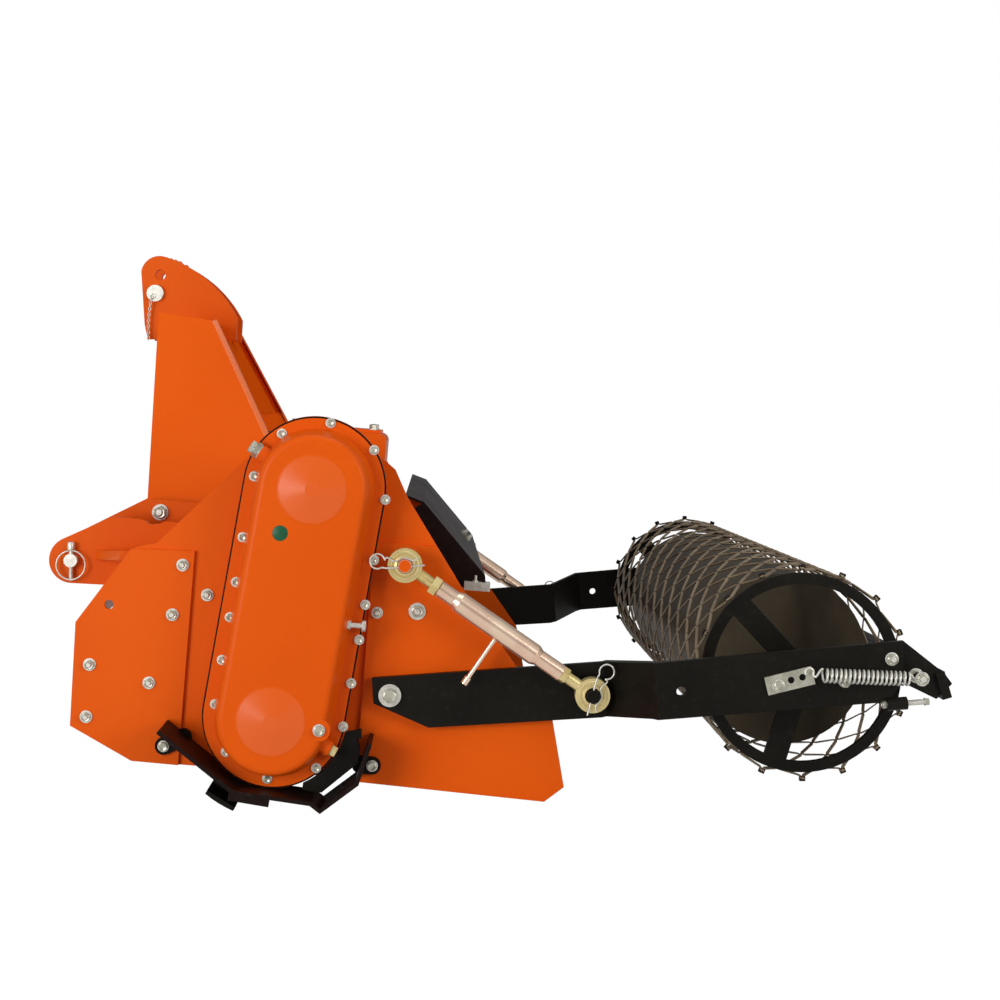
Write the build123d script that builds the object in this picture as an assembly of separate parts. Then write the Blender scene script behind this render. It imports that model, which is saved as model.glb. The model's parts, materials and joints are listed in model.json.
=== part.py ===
from build123d import *
import math
import os

# Stone burier for a three-point linkage, driven by a power take-off.
# It is modelled in its own working frame and then leant back onto its rear
# corners, as it stands when it is parked. Millimetres.
# Working frame: origin on the rotor axis at the middle of the machine,
# x to the rear, y to the right-hand side, z up.

# Rotor
ROTOR_R = 180
ROTOR_TUBE_R = 44
ROTOR_TUBE_WALL = 8
ROTOR_END_GAP = 12
ROTOR_END_T = 18
ROTOR_STUB_R = 20
ROTOR_FIT = 0.06
STUB_REACH = 24
STUB_GAP = 3
HOUSING_R = 52
HOUSING_L = 42
HOUSING_FLANGE_R = 78
HOUSING_FLANGE_T = 12
FLANGE_R = 92
FLANGE_T = 10
FLANGE_COUNT = 6
FLANGE_PITCH = 180
BLADES_PER_FLANGE = 4
BLADE_T = 8
BLADE_W = 52
BLADE_FOOT = 62
BLADE_ROOT = 50
BLADE_STEP = 15

# Parked stance
LEAN = 10.1
HEEL_X = 425

# Side plates and the panels bolted outside them
PLATE_OUT = 555
PLATE_T = 8
PANEL_T = 6
SEAT_GAP = 0.3
SIDE_TOP = [
    (-247, -60), (-247, 229), (-237, 237), (-205, 246), (-44, 424), (-15, 440), (85, 440),
    (155, 388), (178, 345), (262, 228),
]
SIDE_TOP_RIGHT = [
    (-247, -60), (-247, 229), (-237, 237), (-205, 246), (-80, 380), (-10, 410), (70, 410),
    (110, 372), (150, 300), (235, 228),
]
SIDE_BASE = [(235, 150), (127, -23), (98, -95), (-160, -95)]
FRONT_OUTLINE = [(-145, 238), (-145, -95), (-218, -94), (-317, -47), (-321, 114), (-244, 234)]
REAR_TOP = [(131, -99), (131, 274), (229, 274), (272, 214), (428, 22), (454, -82)]
SPARE_HOLE = (-271, 145)
SPARE_HOLE_R = 7

# Hood over the rotor and the beams on it
HOOD_T = 5
HOOD_TOP = 215
HOOD_FRONT = (-316, 108)
HOOD_FOLD_FRONT = -238
HOOD_FOLD_REAR = 95
HOOD_REAR = (238, 128)
BEAM = 50
BEAM_WALL = 5
FRONT_BEAM_X = -140
REAR_BEAM_X = 100
BED_T = 10
BED_HALF = 130

# Upper shaft, gearbox and drive
SHAFT_X = 35
SHAFT_Z = 352
GEARBOX_FRONT = 110
GEARBOX_REAR = 90
GEARBOX_HALF = 92
GEARBOX_TOP = 82
GEARBOX_ROUND = 14
CAP_R = 62
CAP_T = 14
INPUT_BOSS_R = 48
INPUT_BOSS_L = 42
INPUT_R = 17.45
INPUT_L = 92
INPUT_COLLAR_R = 22
COLLAR_OUT = 4
COLLAR_IN = 22
COLLAR_SEAT = 24
BOSS_ROOT = 20
PTO_GUARD_R = 70
PTO_GUARD_T = 3
PTO_GUARD_L = 120
TUBE_R = 42
TUBE_WALL = 5
BRACE_CAP_R = 54
BRACE_CAP_T = 8

# Chain case on the left side
CASE_R = 110
CASE_WALL_R = 96
CASE_WALL = 7
CASE_DEPTH = 45
CASE_FLANGE_T = 8
CASE_HUB_WALL = 14
COVER_R = 107
COVER_FLANGE_T = 4
RAISED_R = 92
RAISED_SLOPE = 12.9
RAISED_DEPTH = 44
RAISED_ROUND = 11
COVER_WALL = 4
DOME_R = 54
DOME_FLAT_R = 11
DOME_RISE = 7
LEVEL_BOSS = (73, -7)
LEVEL_BOSS_R = 17

# Guard strap under the chain case
STRAP_T = 6
STRAP_W = 88
STRAP_LINE = [(-168, -28), (-48, -110), (69, -118), (84, -128), (136, -83), (151, -22)]
STRAP_LUG_R = 13.5
STRAP_LUGS = [((-169, -66), (-140, -50)), ((155, -71), (137, -71))]
STRAP_SLOT = (124, 24)
STRAP_SLOT_Y = (14, 44)

# Three-point hitch
MAST_T = 8
MAST_TOP_Z = 621
MAST_TOP_Y = 175
MAST_SPLAY = 0.4167
MAST_OUTLINE = [(-295, 621), (-197, 613), (8, 271), (-264, 271)]
MAST_BACK_T = 6
MAST_BACK_FOOT_Z = 455
MAST_CAP = [(-292, 592), (-212, 592), (-212, 600), (-292, 600)]
EAR_T = 12
EAR_GAP = 68
EAR_FOOT = [(-355, 700), (-341, 602), (-333, 575), (-169, 586), (-170, 627)]
EAR_CROWN = [(-355, 700), (-344, 722), (-309, 729)]
EAR_BACK = [(-309, 729), (-228, 691), (-170, 627)]
TOP_PIN = (-325, 661)
TOP_PIN_R = 9.5
TOP_HEAD_R = 15.5
TOP_HEAD_L = 8
TOP_PIN_TAIL = 18
TOP_HOLE = (-319, 696)
TOP_HOLE_R = 9.8
LOW_PIN = (-366, 193)
LOW_PIN_R = 11
LOW_PIN_TAIL = 14
LOW_PIN_END = 6
LUG_R = 38
LUG_T = 12
LUG_OUT = 400
LUG_IN = 340
LUG_FOOT = [(-366, 155), (-288, 157), (-246, 221), (-104, 221)]
LUG_OUTER_TOP = [
    (-104, 267), (-219, 268), (-228, 263), (-242, 261), (-254, 268), (-304, 270), (-385, 226),
]
LUG_INNER_TOP = [(-104, 299), (-262, 299), (-385, 226)]
LUG_BRACE = 15
LUG_BRACE_ENDS = [(-323, 204), (-255, 221)]
LUG_TIE = (-285, 198)
LUG_TIE_SIZE = (34, 12)
PIN_FIT = 0.1

# Comb behind the rotor
COMB_BAR = (252, 118)
COMB_BAR_R = 16
TINE_R = 6
TINE_COUNT = 21
TINE_PITCH = 50
TINE_LENGTH = 205
TINE_SLANT = 12

# Rear bonnet
BONNET_T = 4
BONNET_LINE = [(172, 343), (202, 334), (309, 224), (312, 206)]
BONNET_HALF = 449
CHEEK_OUTLINE = [(185, 322), (202, 334), (309, 224), (312, 206), (274, 204), (201, 280)]
BRACKET_T = 6
BRACKET_Y = 424
BRACKET_OUTLINE = [(125, 224), (125, 262), (202, 320), (305, 215), (286, 200), (190, 205)]

# Roller arms, in the arm's own frame: u to the rear, v up, from the pivot
PIVOT = (174, 42)
PIVOT_R = 12
PIVOT_WASHER_R = 17.5
PIVOT_HEAD = 4
HEAD_GAP = 0.4
ARM_T = 12
ARM_GAP = 6
ARM_SIDE = [
    (-26, 28), (330, 28), (395, 38), (766, 45), (759, -16), (735, -43), (389, -46),
    (324, -57), (56, -54), (-26, -11),
]
ARM_JOG_START = 334
ARM_JOG_END = 400
ARM_JOG = 110
ARM_HOLE = (433, -6)
ARM_HOLE_R = 7
ROLLER_U = 632
ROLLER_V = -7
ROLLER_LIFT = 0.3

# Roller
SPIKE_R = 166
MESH_R = 158
MESH_T = 4
MESH_HALF = 600
MESH_ROUND = 16
MESH_CELL = 100
STRAND_W = 9
MESH_TURN = 4.5
SPIKE_W = 9
RING_R = 152.7
RING_IN = 136
RING_T = 8
RING_INSET = 14
DRUM_R = 137
DRUM_WALL = 4
DRUM_HALF = 450
AXLE_R = 17.5
AXLE_INSET = 13
HUB_R = 32
HUB_L = 30
SPOKE_W = 35
SPOKE_T = 8
SPOKE_ANGLES = [257, 17, 137]
BEARING_R = 38
BEARING_T = 30
BEARING_BOLTS = 84
BEARING_FLANGE = (112, 44, 10)
BEARING_BACK = 2
AXLE_FIT = 0.08

# Scraper behind the roller, in the arm's frame
SCRAPER_REACH = 114
SCRAPER_RISE = 27
SCRAPER_PIN_R = 8
SCRAPER_GAP = 0.6
SCRAPER_LEVER = [(-20, -14), (-13, 17), (24, 22), (80, -29), (90, -45), (65, -66), (13, -36)]
SCRAPER_LEVER_T = 8
SCRAPER_BAR = (14, 40)
SCRAPER_BAR_PLACE = (76, -46)
SCRAPER_BAR_TURN = 12
SCRAPER_BAR_END = 5
SPRING_R = 11.5
SPRING_BORE = 8
SPRING_WIRE = 1.75
SPRING_OFF = 17
SPRING_HOOK = 14
SPRING_BOLT = (37, -29)
SPRING_BOLT_R = 6
SPRING_BOLT_L = 34
ANCHOR_HOOK = (-14, 15)
ANCHOR_LINE = [(-74, 0), (-4, 12)]
ANCHOR_W = 27
ANCHOR_T = 4
ANCHOR_HOLE_R = 5
ANCHOR_HOLES = [(-37, 7), (-20, 10)]

# Turnbuckles that hold the arms
LINK_UP = (182, 246)
LINK_LOW = (309, -17)
LINK_Y = 602
LINK_PIN_R = 10
LINK_EYE_R = 26.5
LINK_EYE_W = 20
LINK_PLAY = 1.25
PIN_TAIL = 12
LINK_ROD_R = 9
LINK_ROD_START = 200
LINK_TUBE_R = 13
LINK_TUBE_START = 63
LINK_TUBE_END = 290
LINK_TUBE_SOLID = 40
LINK_TUBE_PLAY = 0.4
LINK_BELLY_R = 16.5
LINK_BELLY = (100, 240)
LINK_BELLY_TAPER = 8
LINK_HANDLE_AT = 177
LINK_HANDLE_R = 3.5
LINK_HANDLE_L = 98
LINK_HANDLE_END = (5.5, 12)
LINK_NUT_R = 13.5
LINK_NUT_L = 10
LINK_NUT_GAP = 2

# Worked out from the values above
PLATE_IN = PLATE_OUT - PLATE_T
PANEL_OUT = PLATE_OUT + PANEL_T
COS_LEAN = math.cos(math.radians(LEAN))
SIN_LEAN = math.sin(math.radians(LEAN))
HEEL_Z = -(ROTOR_R - HEEL_X * SIN_LEAN) / COS_LEAN
REAR_OUTLINE = REAR_TOP + [(HEEL_X, HEEL_Z)]
BEAM_Z = HOOD_TOP + HOOD_T + BEAM / 2
BED_Z = HOOD_TOP + HOOD_T + BEAM
ARM_IN = PANEL_OUT + ARM_GAP
SCRAPER_U = ROLLER_U + SCRAPER_REACH
SCRAPER_V = ROLLER_V + SCRAPER_RISE
RING_Y = MESH_HALF - RING_INSET
AXLE_HALF = ARM_IN + ARM_JOG - AXLE_INSET
PIVOT_HEIGHT = ROTOR_R - PIVOT[0] * SIN_LEAN + PIVOT[1] * COS_LEAN
AXLE_REACH = math.hypot(ROLLER_U, ROLLER_V)
AXLE_DROP = math.asin((SPIKE_R + ROLLER_LIFT - PIVOT_HEIGHT) / AXLE_REACH)
ARM_RISE = LEAN + math.degrees(AXLE_DROP - math.atan2(ROLLER_V, ROLLER_U))


def slab(sketch, y0, y1):
    """A flat plate: its side view (x, z) as a sketch, from y0 to y1."""
    return Pos(0, y1, 0) * extrude(Plane.XZ * sketch, amount=y1 - y0, dir=(0, -1, 0))


def rod(x, z, y0, y1, radius, bore=0):
    """A round bar or tube across the machine."""
    section = Circle(radius) - Circle(bore) if bore else Circle(radius)
    return slab(Pos(x, z) * section, y0, y1)


def outline(points):
    """A closed sketch from a list of points."""
    return Polygon(*points, align=None)


def strip(points, thickness):
    """The side view of a bent plate: its centre line and thickness, with mitred bends."""
    half = thickness / 2
    upper, lower = [], []
    for i, (x, z) in enumerate(points):
        before = points[max(i - 1, 0)]
        here = points[i]
        after = points[min(i + 1, len(points) - 1)]
        first = Vector(here[0] - before[0], here[1] - before[1])
        last = Vector(after[0] - here[0], after[1] - here[1])
        first = first if first.length else last
        last = last if last.length else first
        first, last = first.normalized(), last.normalized()
        normal = Vector(-first.Y - last.Y, first.X + last.X).normalized()
        reach = half / (normal.X * -first.Y + normal.Y * first.X)
        upper.append((x + normal.X * reach, z + normal.Y * reach))
        lower.append((x - normal.X * reach, z - normal.Y * reach))
    return outline(upper + lower[::-1])


def stadium(radius):
    """The side view of the chain case: a band round both shafts."""
    rise = math.hypot(SHAFT_X, SHAFT_Z)
    angle = math.degrees(math.atan2(SHAFT_Z, SHAFT_X))
    return Pos(SHAFT_X / 2, SHAFT_Z / 2) * Rot(0, 0, angle) * SlotCenterToCenter(rise, 2 * radius)


def opposite(part):
    """The same piece on the other side of the machine."""
    return mirror(part, about=Plane.XZ)


def in_arm(part):
    """Places a piece that was drawn in the arm's frame."""
    return Pos(PIVOT[0], 0, PIVOT[1]) * Rot(0, -ARM_RISE, 0) * part


def arm_point(u, v):
    """A point of the arm's frame, in the working frame."""
    c, s = math.cos(math.radians(ARM_RISE)), math.sin(math.radians(ARM_RISE))
    return PIVOT[0] + u * c - v * s, PIVOT[1] + u * s + v * c


def side_plate(top):
    """Main side plate, with the bore for the rotor's stub and for the drive tube."""
    face = outline(top + SIDE_BASE) - Circle(ROTOR_STUB_R + 6)
    face -= Pos(SHAFT_X, SHAFT_Z) * Circle(TUBE_R + PIN_FIT)
    return slab(face, -PLATE_OUT, -PLATE_IN)


def front_panel():
    face = outline(FRONT_OUTLINE) - Pos(*SPARE_HOLE) * Circle(SPARE_HOLE_R)
    return slab(face, -PANEL_OUT, -PLATE_OUT)


def rear_panel():
    return slab(outline(REAR_OUTLINE), -PANEL_OUT, -PLATE_OUT)


def hood():
    """Bent sheet over the rotor, from the front mouth back to the comb."""
    top = HOOD_TOP + HOOD_T / 2
    line = [HOOD_FRONT, (HOOD_FOLD_FRONT, top), (HOOD_FOLD_REAR, top), HOOD_REAR]
    return slab(strip(line, HOOD_T), -PLATE_IN, PLATE_IN)


def beam(x):
    """A square tube across the hood."""
    section = Rectangle(BEAM, BEAM) - Rectangle(BEAM - 2 * BEAM_WALL, BEAM - 2 * BEAM_WALL)
    return slab(Pos(x, BEAM_Z) * section, -PLATE_IN, PLATE_IN)


def gearbox_bed():
    front, rear = FRONT_BEAM_X - BEAM / 2, REAR_BEAM_X + BEAM / 2
    face = outline([(front, BED_Z), (rear, BED_Z), (rear, BED_Z + BED_T), (front, BED_Z + BED_T)])
    return slab(face, -BED_HALF, BED_HALF)


def gearbox():
    """Bevel gearbox: one closed casting with its bearing caps and the input boss."""
    base = BED_Z + BED_T
    length = GEARBOX_FRONT + GEARBOX_REAR
    height = SHAFT_Z + GEARBOX_TOP - base
    middle = SHAFT_X + (GEARBOX_REAR - GEARBOX_FRONT) / 2
    block = Pos(middle, 0, base + height / 2) * Box(length, 2 * GEARBOX_HALF, height)
    block = fillet(block.edges().filter_by(Axis.Y), GEARBOX_ROUND)
    caps = rod(SHAFT_X, SHAFT_Z, -GEARBOX_HALF - CAP_T, GEARBOX_HALF + CAP_T, CAP_R)
    front = SHAFT_X - GEARBOX_FRONT
    boss = Pos(front - INPUT_BOSS_L, 0, SHAFT_Z) * Rot(0, 90, 0) * Cylinder(
        INPUT_BOSS_R, INPUT_BOSS_L + BOSS_ROOT, align=(Align.CENTER, Align.CENTER, Align.MIN)
    )
    bore = Pos(front - INPUT_BOSS_L, 0, SHAFT_Z) * Rot(0, 90, 0) * Cylinder(
        INPUT_COLLAR_R + ROTOR_FIT, COLLAR_SEAT, align=(Align.CENTER, Align.CENTER, Align.MIN)
    )
    return block + caps + boss - bore


def input_shaft():
    """Splined input shaft with its collar."""
    nose = SHAFT_X - GEARBOX_FRONT - INPUT_BOSS_L
    collar = Pos(nose - COLLAR_OUT, 0, SHAFT_Z) * Rot(0, 90, 0) * Cylinder(
        INPUT_COLLAR_R, COLLAR_OUT + COLLAR_IN, align=(Align.CENTER, Align.CENTER, Align.MIN)
    )
    spline = Pos(nose - COLLAR_OUT - INPUT_L, 0, SHAFT_Z) * Rot(0, 90, 0) * Cylinder(
        INPUT_R, INPUT_L, align=(Align.CENTER, Align.CENTER, Align.MIN)
    )
    return spline + collar


def pto_guard():
    """Open-ended shield round the input shaft, on the gearbox's front."""
    front = SHAFT_X - GEARBOX_FRONT
    tube = Pos(front - PTO_GUARD_L, 0, SHAFT_Z) * Rot(0, 90, 0) * (
        Cylinder(PTO_GUARD_R, PTO_GUARD_L, align=(Align.CENTER, Align.CENTER, Align.MIN))
        - Cylinder(
            PTO_GUARD_R - PTO_GUARD_T, PTO_GUARD_L, align=(Align.CENTER, Align.CENTER, Align.MIN)
        )
    )
    return tube


def drive_tube():
    """Round tube from the gearbox's cap to the side plate."""
    return rod(
        SHAFT_X, SHAFT_Z, -PLATE_OUT, -GEARBOX_HALF - CAP_T, TUBE_R, TUBE_R - TUBE_WALL
    )


def brace_tube():
    """The same tube on the right, closed by a round plate bolted outside."""
    cap = rod(SHAFT_X, SHAFT_Z, PLATE_OUT, PLATE_OUT + BRACE_CAP_T, BRACE_CAP_R)
    return opposite(drive_tube()) + cap


def chain_case():
    """The case's welded wall and flange, closed by a thin back."""
    wall = slab(stadium(CASE_WALL_R), -PLATE_OUT - CASE_DEPTH, -PLATE_OUT)
    wall += slab(stadium(CASE_R), -PLATE_OUT - CASE_DEPTH, -PLATE_OUT - CASE_DEPTH + CASE_FLANGE_T)
    room = slab(
        stadium(CASE_WALL_R - CASE_WALL), -PLATE_OUT - CASE_DEPTH, -PLATE_OUT - COVER_WALL
    )
    depth = STUB_REACH + STUB_GAP
    hub = rod(0, 0, -PLATE_OUT - depth - COVER_WALL, -PLATE_OUT, ROTOR_STUB_R + CASE_HUB_WALL)
    return wall - room + hub - rod(0, 0, -PLATE_OUT - depth, -PLATE_OUT, ROTOR_STUB_R + ROTOR_FIT)


def raised(inset, depth):
    """The cover's raised form, narrowing away from the case."""
    return Pos(0, -PLATE_OUT - CASE_DEPTH, 0) * extrude(
        Plane.XZ * stadium(RAISED_R - inset), amount=depth, taper=RAISED_SLOPE
    )


def chain_cover():
    """Pressed cover: a flange, a raised face with round shoulders and two domes."""
    seat = PLATE_OUT + CASE_DEPTH
    depth = COVER_FLANGE_T + RAISED_DEPTH
    face = seat + depth
    form = raised(0, depth)
    form = fillet(form.faces().sort_by(Axis.Y)[0].edges(), RAISED_ROUND)
    cover = form + slab(stadium(COVER_R), -seat - COVER_FLANGE_T, -seat)
    cover -= raised(COVER_WALL, depth - COVER_WALL)
    cover += rod(*LEVEL_BOSS, -face, -seat - COVER_FLANGE_T, LEVEL_BOSS_R)
    for x, z in ((0, 0), (SHAFT_X, SHAFT_Z)):
        cone = Cone(DOME_R, DOME_FLAT_R, DOME_RISE, align=(Align.CENTER, Align.CENTER, Align.MIN))
        cover += Pos(x, -face, z) * Rot(90, 0, 0) * cone
    return cover


def guard_strap():
    """Bent plate that shields the chain case from below, with a bolted lug at each end."""
    inner = PANEL_OUT + SEAT_GAP
    strap = slab(strip(STRAP_LINE, STRAP_T), -inner - STRAP_W, -inner)
    x, length = STRAP_SLOT
    y0, y1 = STRAP_SLOT_Y
    low, high = STRAP_LINE[3][1], STRAP_LINE[4][1]
    window = Pos(x, (low + high) / 2) * Rectangle(length, high - low)
    strap -= slab(window, -inner - y1, -inner - y0)
    for (x0, z0), (x1, z1) in STRAP_LUGS:
        reach, turn = math.hypot(x1 - x0, z1 - z0), math.degrees(math.atan2(z1 - z0, x1 - x0))
        tab = Rot(0, 0, turn) * SlotCenterToCenter(reach, 2 * STRAP_LUG_R)
        strap += slab(Pos((x0 + x1) / 2, (z0 + z1) / 2) * tab, -inner - STRAP_T, -inner)
    return strap


def bearing_housing():
    """Flanged bearing of the rotor on the right-hand plate."""
    flange = rod(0, 0, PLATE_OUT, PLATE_OUT + HOUSING_FLANGE_T, HOUSING_FLANGE_R)
    body = rod(0, 0, PLATE_OUT, PLATE_OUT + HOUSING_L, HOUSING_R)
    bore = rod(0, 0, PLATE_OUT, PLATE_OUT + STUB_REACH + STUB_GAP, ROTOR_STUB_R + ROTOR_FIT)
    return flange + body - bore


def mast_y(z):
    """How far from the middle the mast's plate stands at a height."""
    return MAST_TOP_Y + MAST_SPLAY * (MAST_TOP_Z - z)


def mast_plate():
    """Splayed side plate of the mast, from the head down to the hitch lugs."""
    loop = Polyline(*[(x, -mast_y(z), z) for x, z in MAST_OUTLINE], close=True)
    return extrude(make_face(loop), amount=MAST_T, dir=(0, 1, 0))


def mast_back():
    """Plate that closes the back of the mast above the gearbox."""
    (x0, z0), (x1, z1) = MAST_OUTLINE[1], MAST_OUTLINE[2]
    low = MAST_BACK_FOOT_Z
    x_low = x0 + (x1 - x0) * (z0 - low) / (z0 - z1)
    top, base = mast_y(z0) - MAST_T, mast_y(low) - MAST_T
    loop = Polyline((x0, -top, z0), (x0, top, z0), (x_low, base, low), (x_low, -base, low), close=True)
    sheet = extrude(make_face(loop), amount=MAST_BACK_T, dir=(-1, 0, 0))
    return Pos(-MAST_T, 0, 0) * sheet - mast_head()


def mast_head():
    """The two top-link ears on the plate that ties the mast's sides."""
    edge = Polyline(*EAR_FOOT) + ThreePointArc(*EAR_CROWN) + ThreePointArc(*EAR_BACK)
    ear = make_face(edge)
    ear -= Pos(*TOP_PIN) * Circle(TOP_HOLE_R) + Pos(*TOP_HOLE) * Circle(TOP_HOLE_R)
    near = slab(ear, -EAR_GAP / 2 - EAR_T, -EAR_GAP / 2)
    half = mast_y(MAST_CAP[-1][1]) - MAST_T - SEAT_GAP
    return near + opposite(near) + slab(outline(MAST_CAP), -half, half)


def lug(top, y):
    """One lug plate: its foot, the given top edge and the round end about the pin."""
    face = outline(LUG_FOOT + top) + Pos(*LOW_PIN) * Circle(LUG_R)
    face -= Pos(*LOW_PIN) * Circle(LOW_PIN_R + PIN_FIT)
    face -= Pos(FRONT_BEAM_X, BEAM_Z) * Rectangle(BEAM, BEAM)
    return slab(face, -y - LUG_T / 2, -y + LUG_T / 2)


def hitch_lugs():
    """The two plates that hold one lower link pin, tied together and braced to the side plate."""
    tie = slab(Pos(*LUG_TIE) * Rectangle(*LUG_TIE_SIZE), -LUG_OUT, -LUG_IN)
    (x0, z0), (x1, z1) = LUG_BRACE_ENDS
    start, end = Vector(x0, -LUG_OUT, z0), Vector(x1, -PLATE_IN, z1)
    reach = (end - start).length + LUG_BRACE
    brace = Plane(start, z_dir=end - start) * extrude(Rectangle(LUG_BRACE, LUG_BRACE), reach)
    brace -= slab(Pos(x1, z1) * Rectangle(BEAM, BEAM), -PLATE_OUT - BEAM, -PLATE_IN + SEAT_GAP)
    return lug(LUG_OUTER_TOP, LUG_OUT) + lug(LUG_INNER_TOP, LUG_IN) + tie + brace


def linkage_pins():
    """The two lower link pins and the top link pin with its head."""
    low = rod(
        *LOW_PIN, -LUG_OUT - LUG_T / 2 - LOW_PIN_TAIL, -LUG_IN + LUG_T / 2 + LOW_PIN_END, LOW_PIN_R
    )
    reach = EAR_GAP / 2 + EAR_T
    top = rod(*TOP_PIN, -reach - TOP_HEAD_L, reach + TOP_PIN_TAIL, TOP_PIN_R)
    top += rod(*TOP_PIN, -reach - TOP_HEAD_L, -reach, TOP_HEAD_R)
    return Compound(children=[low, opposite(low), top])


def rotor():
    """Tube with flanges, each with L-shaped blades bent left and right by turns."""
    half = PLATE_IN - ROTOR_END_GAP
    shaft = rod(0, 0, -half, half, ROTOR_TUBE_R, ROTOR_TUBE_R - ROTOR_TUBE_WALL)
    end = rod(0, 0, -half, -half + ROTOR_END_T, ROTOR_TUBE_R)
    end += rod(0, 0, -PLATE_OUT - STUB_REACH, -half + ROTOR_END_T, ROTOR_STUB_R)
    shaft += end + opposite(end)
    down = 270 + LEAN
    middle = (FLANGE_COUNT - 1) / 2
    for i in range(FLANGE_COUNT):
        y = (i - middle) * FLANGE_PITCH
        shaft += rod(0, 0, y - FLANGE_T / 2, y + FLANGE_T / 2, FLANGE_R, ROTOR_TUBE_R - 1)
        for k in range(BLADES_PER_FLANGE):
            angle = down + (i - middle) * BLADE_STEP + k * 360 / BLADES_PER_FLANGE
            side = 1 if k % 2 else -1
            shaft += Rot(0, -angle, 0) * Pos(0, y, 0) * blade(side)
    return shaft


def blade(side):
    """One blade along +x: a shank on the flange and a foot bent to one side."""
    shank_y = side * (FLANGE_T + BLADE_T) / 2
    shank = Pos(BLADE_ROOT, shank_y, 0) * Box(
        ROTOR_R - BLADE_ROOT - 2, BLADE_T, BLADE_W, align=(Align.MIN, Align.CENTER, Align.CENTER)
    )
    foot_y = side * (FLANGE_T / 2 + BLADE_FOOT / 2)
    foot = Pos(ROTOR_R, foot_y, 0) * Box(
        BLADE_T, BLADE_FOOT, BLADE_W, align=(Align.MAX, Align.CENTER, Align.CENTER)
    )
    round_off = Pos(0, foot_y, 0) * Rot(90, 0, 0) * Cylinder(ROTOR_R, BLADE_FOOT + 2 * BLADE_T)
    return (shank + foot) & round_off


def comb():
    """Round bar with a row of tines hanging behind the rotor."""
    bar = rod(*COMB_BAR, -PLATE_OUT, PLATE_OUT, COMB_BAR_R)
    tine = Pos(COMB_BAR[0], 0, COMB_BAR[1]) * Rot(0, 180 - TINE_SLANT, 0) * Cylinder(
        TINE_R, TINE_LENGTH, align=(Align.CENTER, Align.CENTER, Align.MIN)
    )
    for i in range(TINE_COUNT):
        bar += Pos(0, (i - (TINE_COUNT - 1) / 2) * TINE_PITCH, 0) * tine
    return bar


def bonnet():
    """Folded sheet behind the hood, across the machine, with a cheek at each end."""
    sheet = slab(strip(BONNET_LINE, BONNET_T), -BONNET_HALF, BONNET_HALF)
    cheek = slab(outline(CHEEK_OUTLINE), -BONNET_HALF, -BONNET_HALF + BONNET_T)
    return sheet + cheek + opposite(cheek)


def bonnet_brackets():
    """Plates from the rear beam to the bonnet's inner face."""
    plate = slab(outline(BRACKET_OUTLINE), -BRACKET_Y - BRACKET_T, -BRACKET_Y)
    plate -= slab(strip(BONNET_LINE, BONNET_T + 2 * SEAT_GAP), -BONNET_HALF, BONNET_HALF)
    return Compound(children=list(plate.solids()) + [opposite(part) for part in plate.solids()])


def pivot_pins():
    """The arms' pivot bolts and the turnbuckles' upper pins."""
    outer = -ARM_IN - ARM_T
    pin = rod(*PIVOT, outer - PIVOT_HEAD, -PANEL_OUT, PIVOT_R)
    pin += rod(*PIVOT, outer - PIVOT_HEAD, outer - HEAD_GAP, PIVOT_WASHER_R)
    link = rod(*LINK_UP, -LINK_Y - LINK_EYE_W / 2 - PIN_TAIL, -PANEL_OUT, LINK_PIN_R)
    return Compound(children=[pin, opposite(pin), link, opposite(link)])


def arm():
    """Flat bar with a joggle outwards, so that it passes the roller's end."""
    near = -ARM_IN - ARM_T / 2
    us = [u for u, v in ARM_SIDE]
    vs = [v for u, v in ARM_SIDE]
    line = [
        (min(us), near), (ARM_JOG_START, near), (ARM_JOG_END, near - ARM_JOG),
        (max(us), near - ARM_JOG),
    ]
    bar = Pos(0, 0, min(vs)) * extrude(strip(line, ARM_T), amount=max(vs) - min(vs), dir=(0, 0, 1))
    rear_in = -ARM_IN - ARM_JOG
    bar = bar & slab(outline(ARM_SIDE), rear_in - ARM_T, -ARM_IN)
    bar -= rod(0, 0, -ARM_IN - ARM_T, -ARM_IN, PIVOT_R + PIN_FIT)
    bar -= rod(*ARM_HOLE, rear_in - ARM_T, rear_in, ARM_HOLE_R)
    pin_end = -LINK_Y - LINK_EYE_W / 2 - PIN_TAIL
    bar += rod(*LINK_LOW, pin_end, -ARM_IN - ARM_T, LINK_PIN_R)
    bar += rod(SCRAPER_U, SCRAPER_V, rear_in, rear_in + SCRAPER_GAP + SCRAPER_LEVER_T, SCRAPER_PIN_R)
    return in_arm(bar)


def roller_bearing():
    """Flanged bearing of the roller on the arm's inner face."""
    inner = -ARM_IN - ARM_JOG
    x, z = arm_point(ROLLER_U, ROLLER_V)
    length, width, thick = BEARING_FLANGE
    flange = Pos(ROLLER_U, ROLLER_V) * SlotOverall(length, width)
    plate = in_arm(slab(flange, inner, inner + thick))
    body = rod(x, z, inner, inner + BEARING_T, BEARING_R)
    return plate + body - rod(x, z, inner + BEARING_BACK, inner + BEARING_T, AXLE_R + AXLE_FIT)


def roller_drum():
    """Closed drum on its axle."""
    x, z = arm_point(ROLLER_U, ROLLER_V)
    drum = rod(x, z, -DRUM_HALF, DRUM_HALF, DRUM_R)
    drum -= rod(x, z, -DRUM_HALF + DRUM_WALL, DRUM_HALF - DRUM_WALL, DRUM_R - DRUM_WALL)
    return drum + rod(x, z, -AXLE_HALF, AXLE_HALF, AXLE_R)


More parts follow.
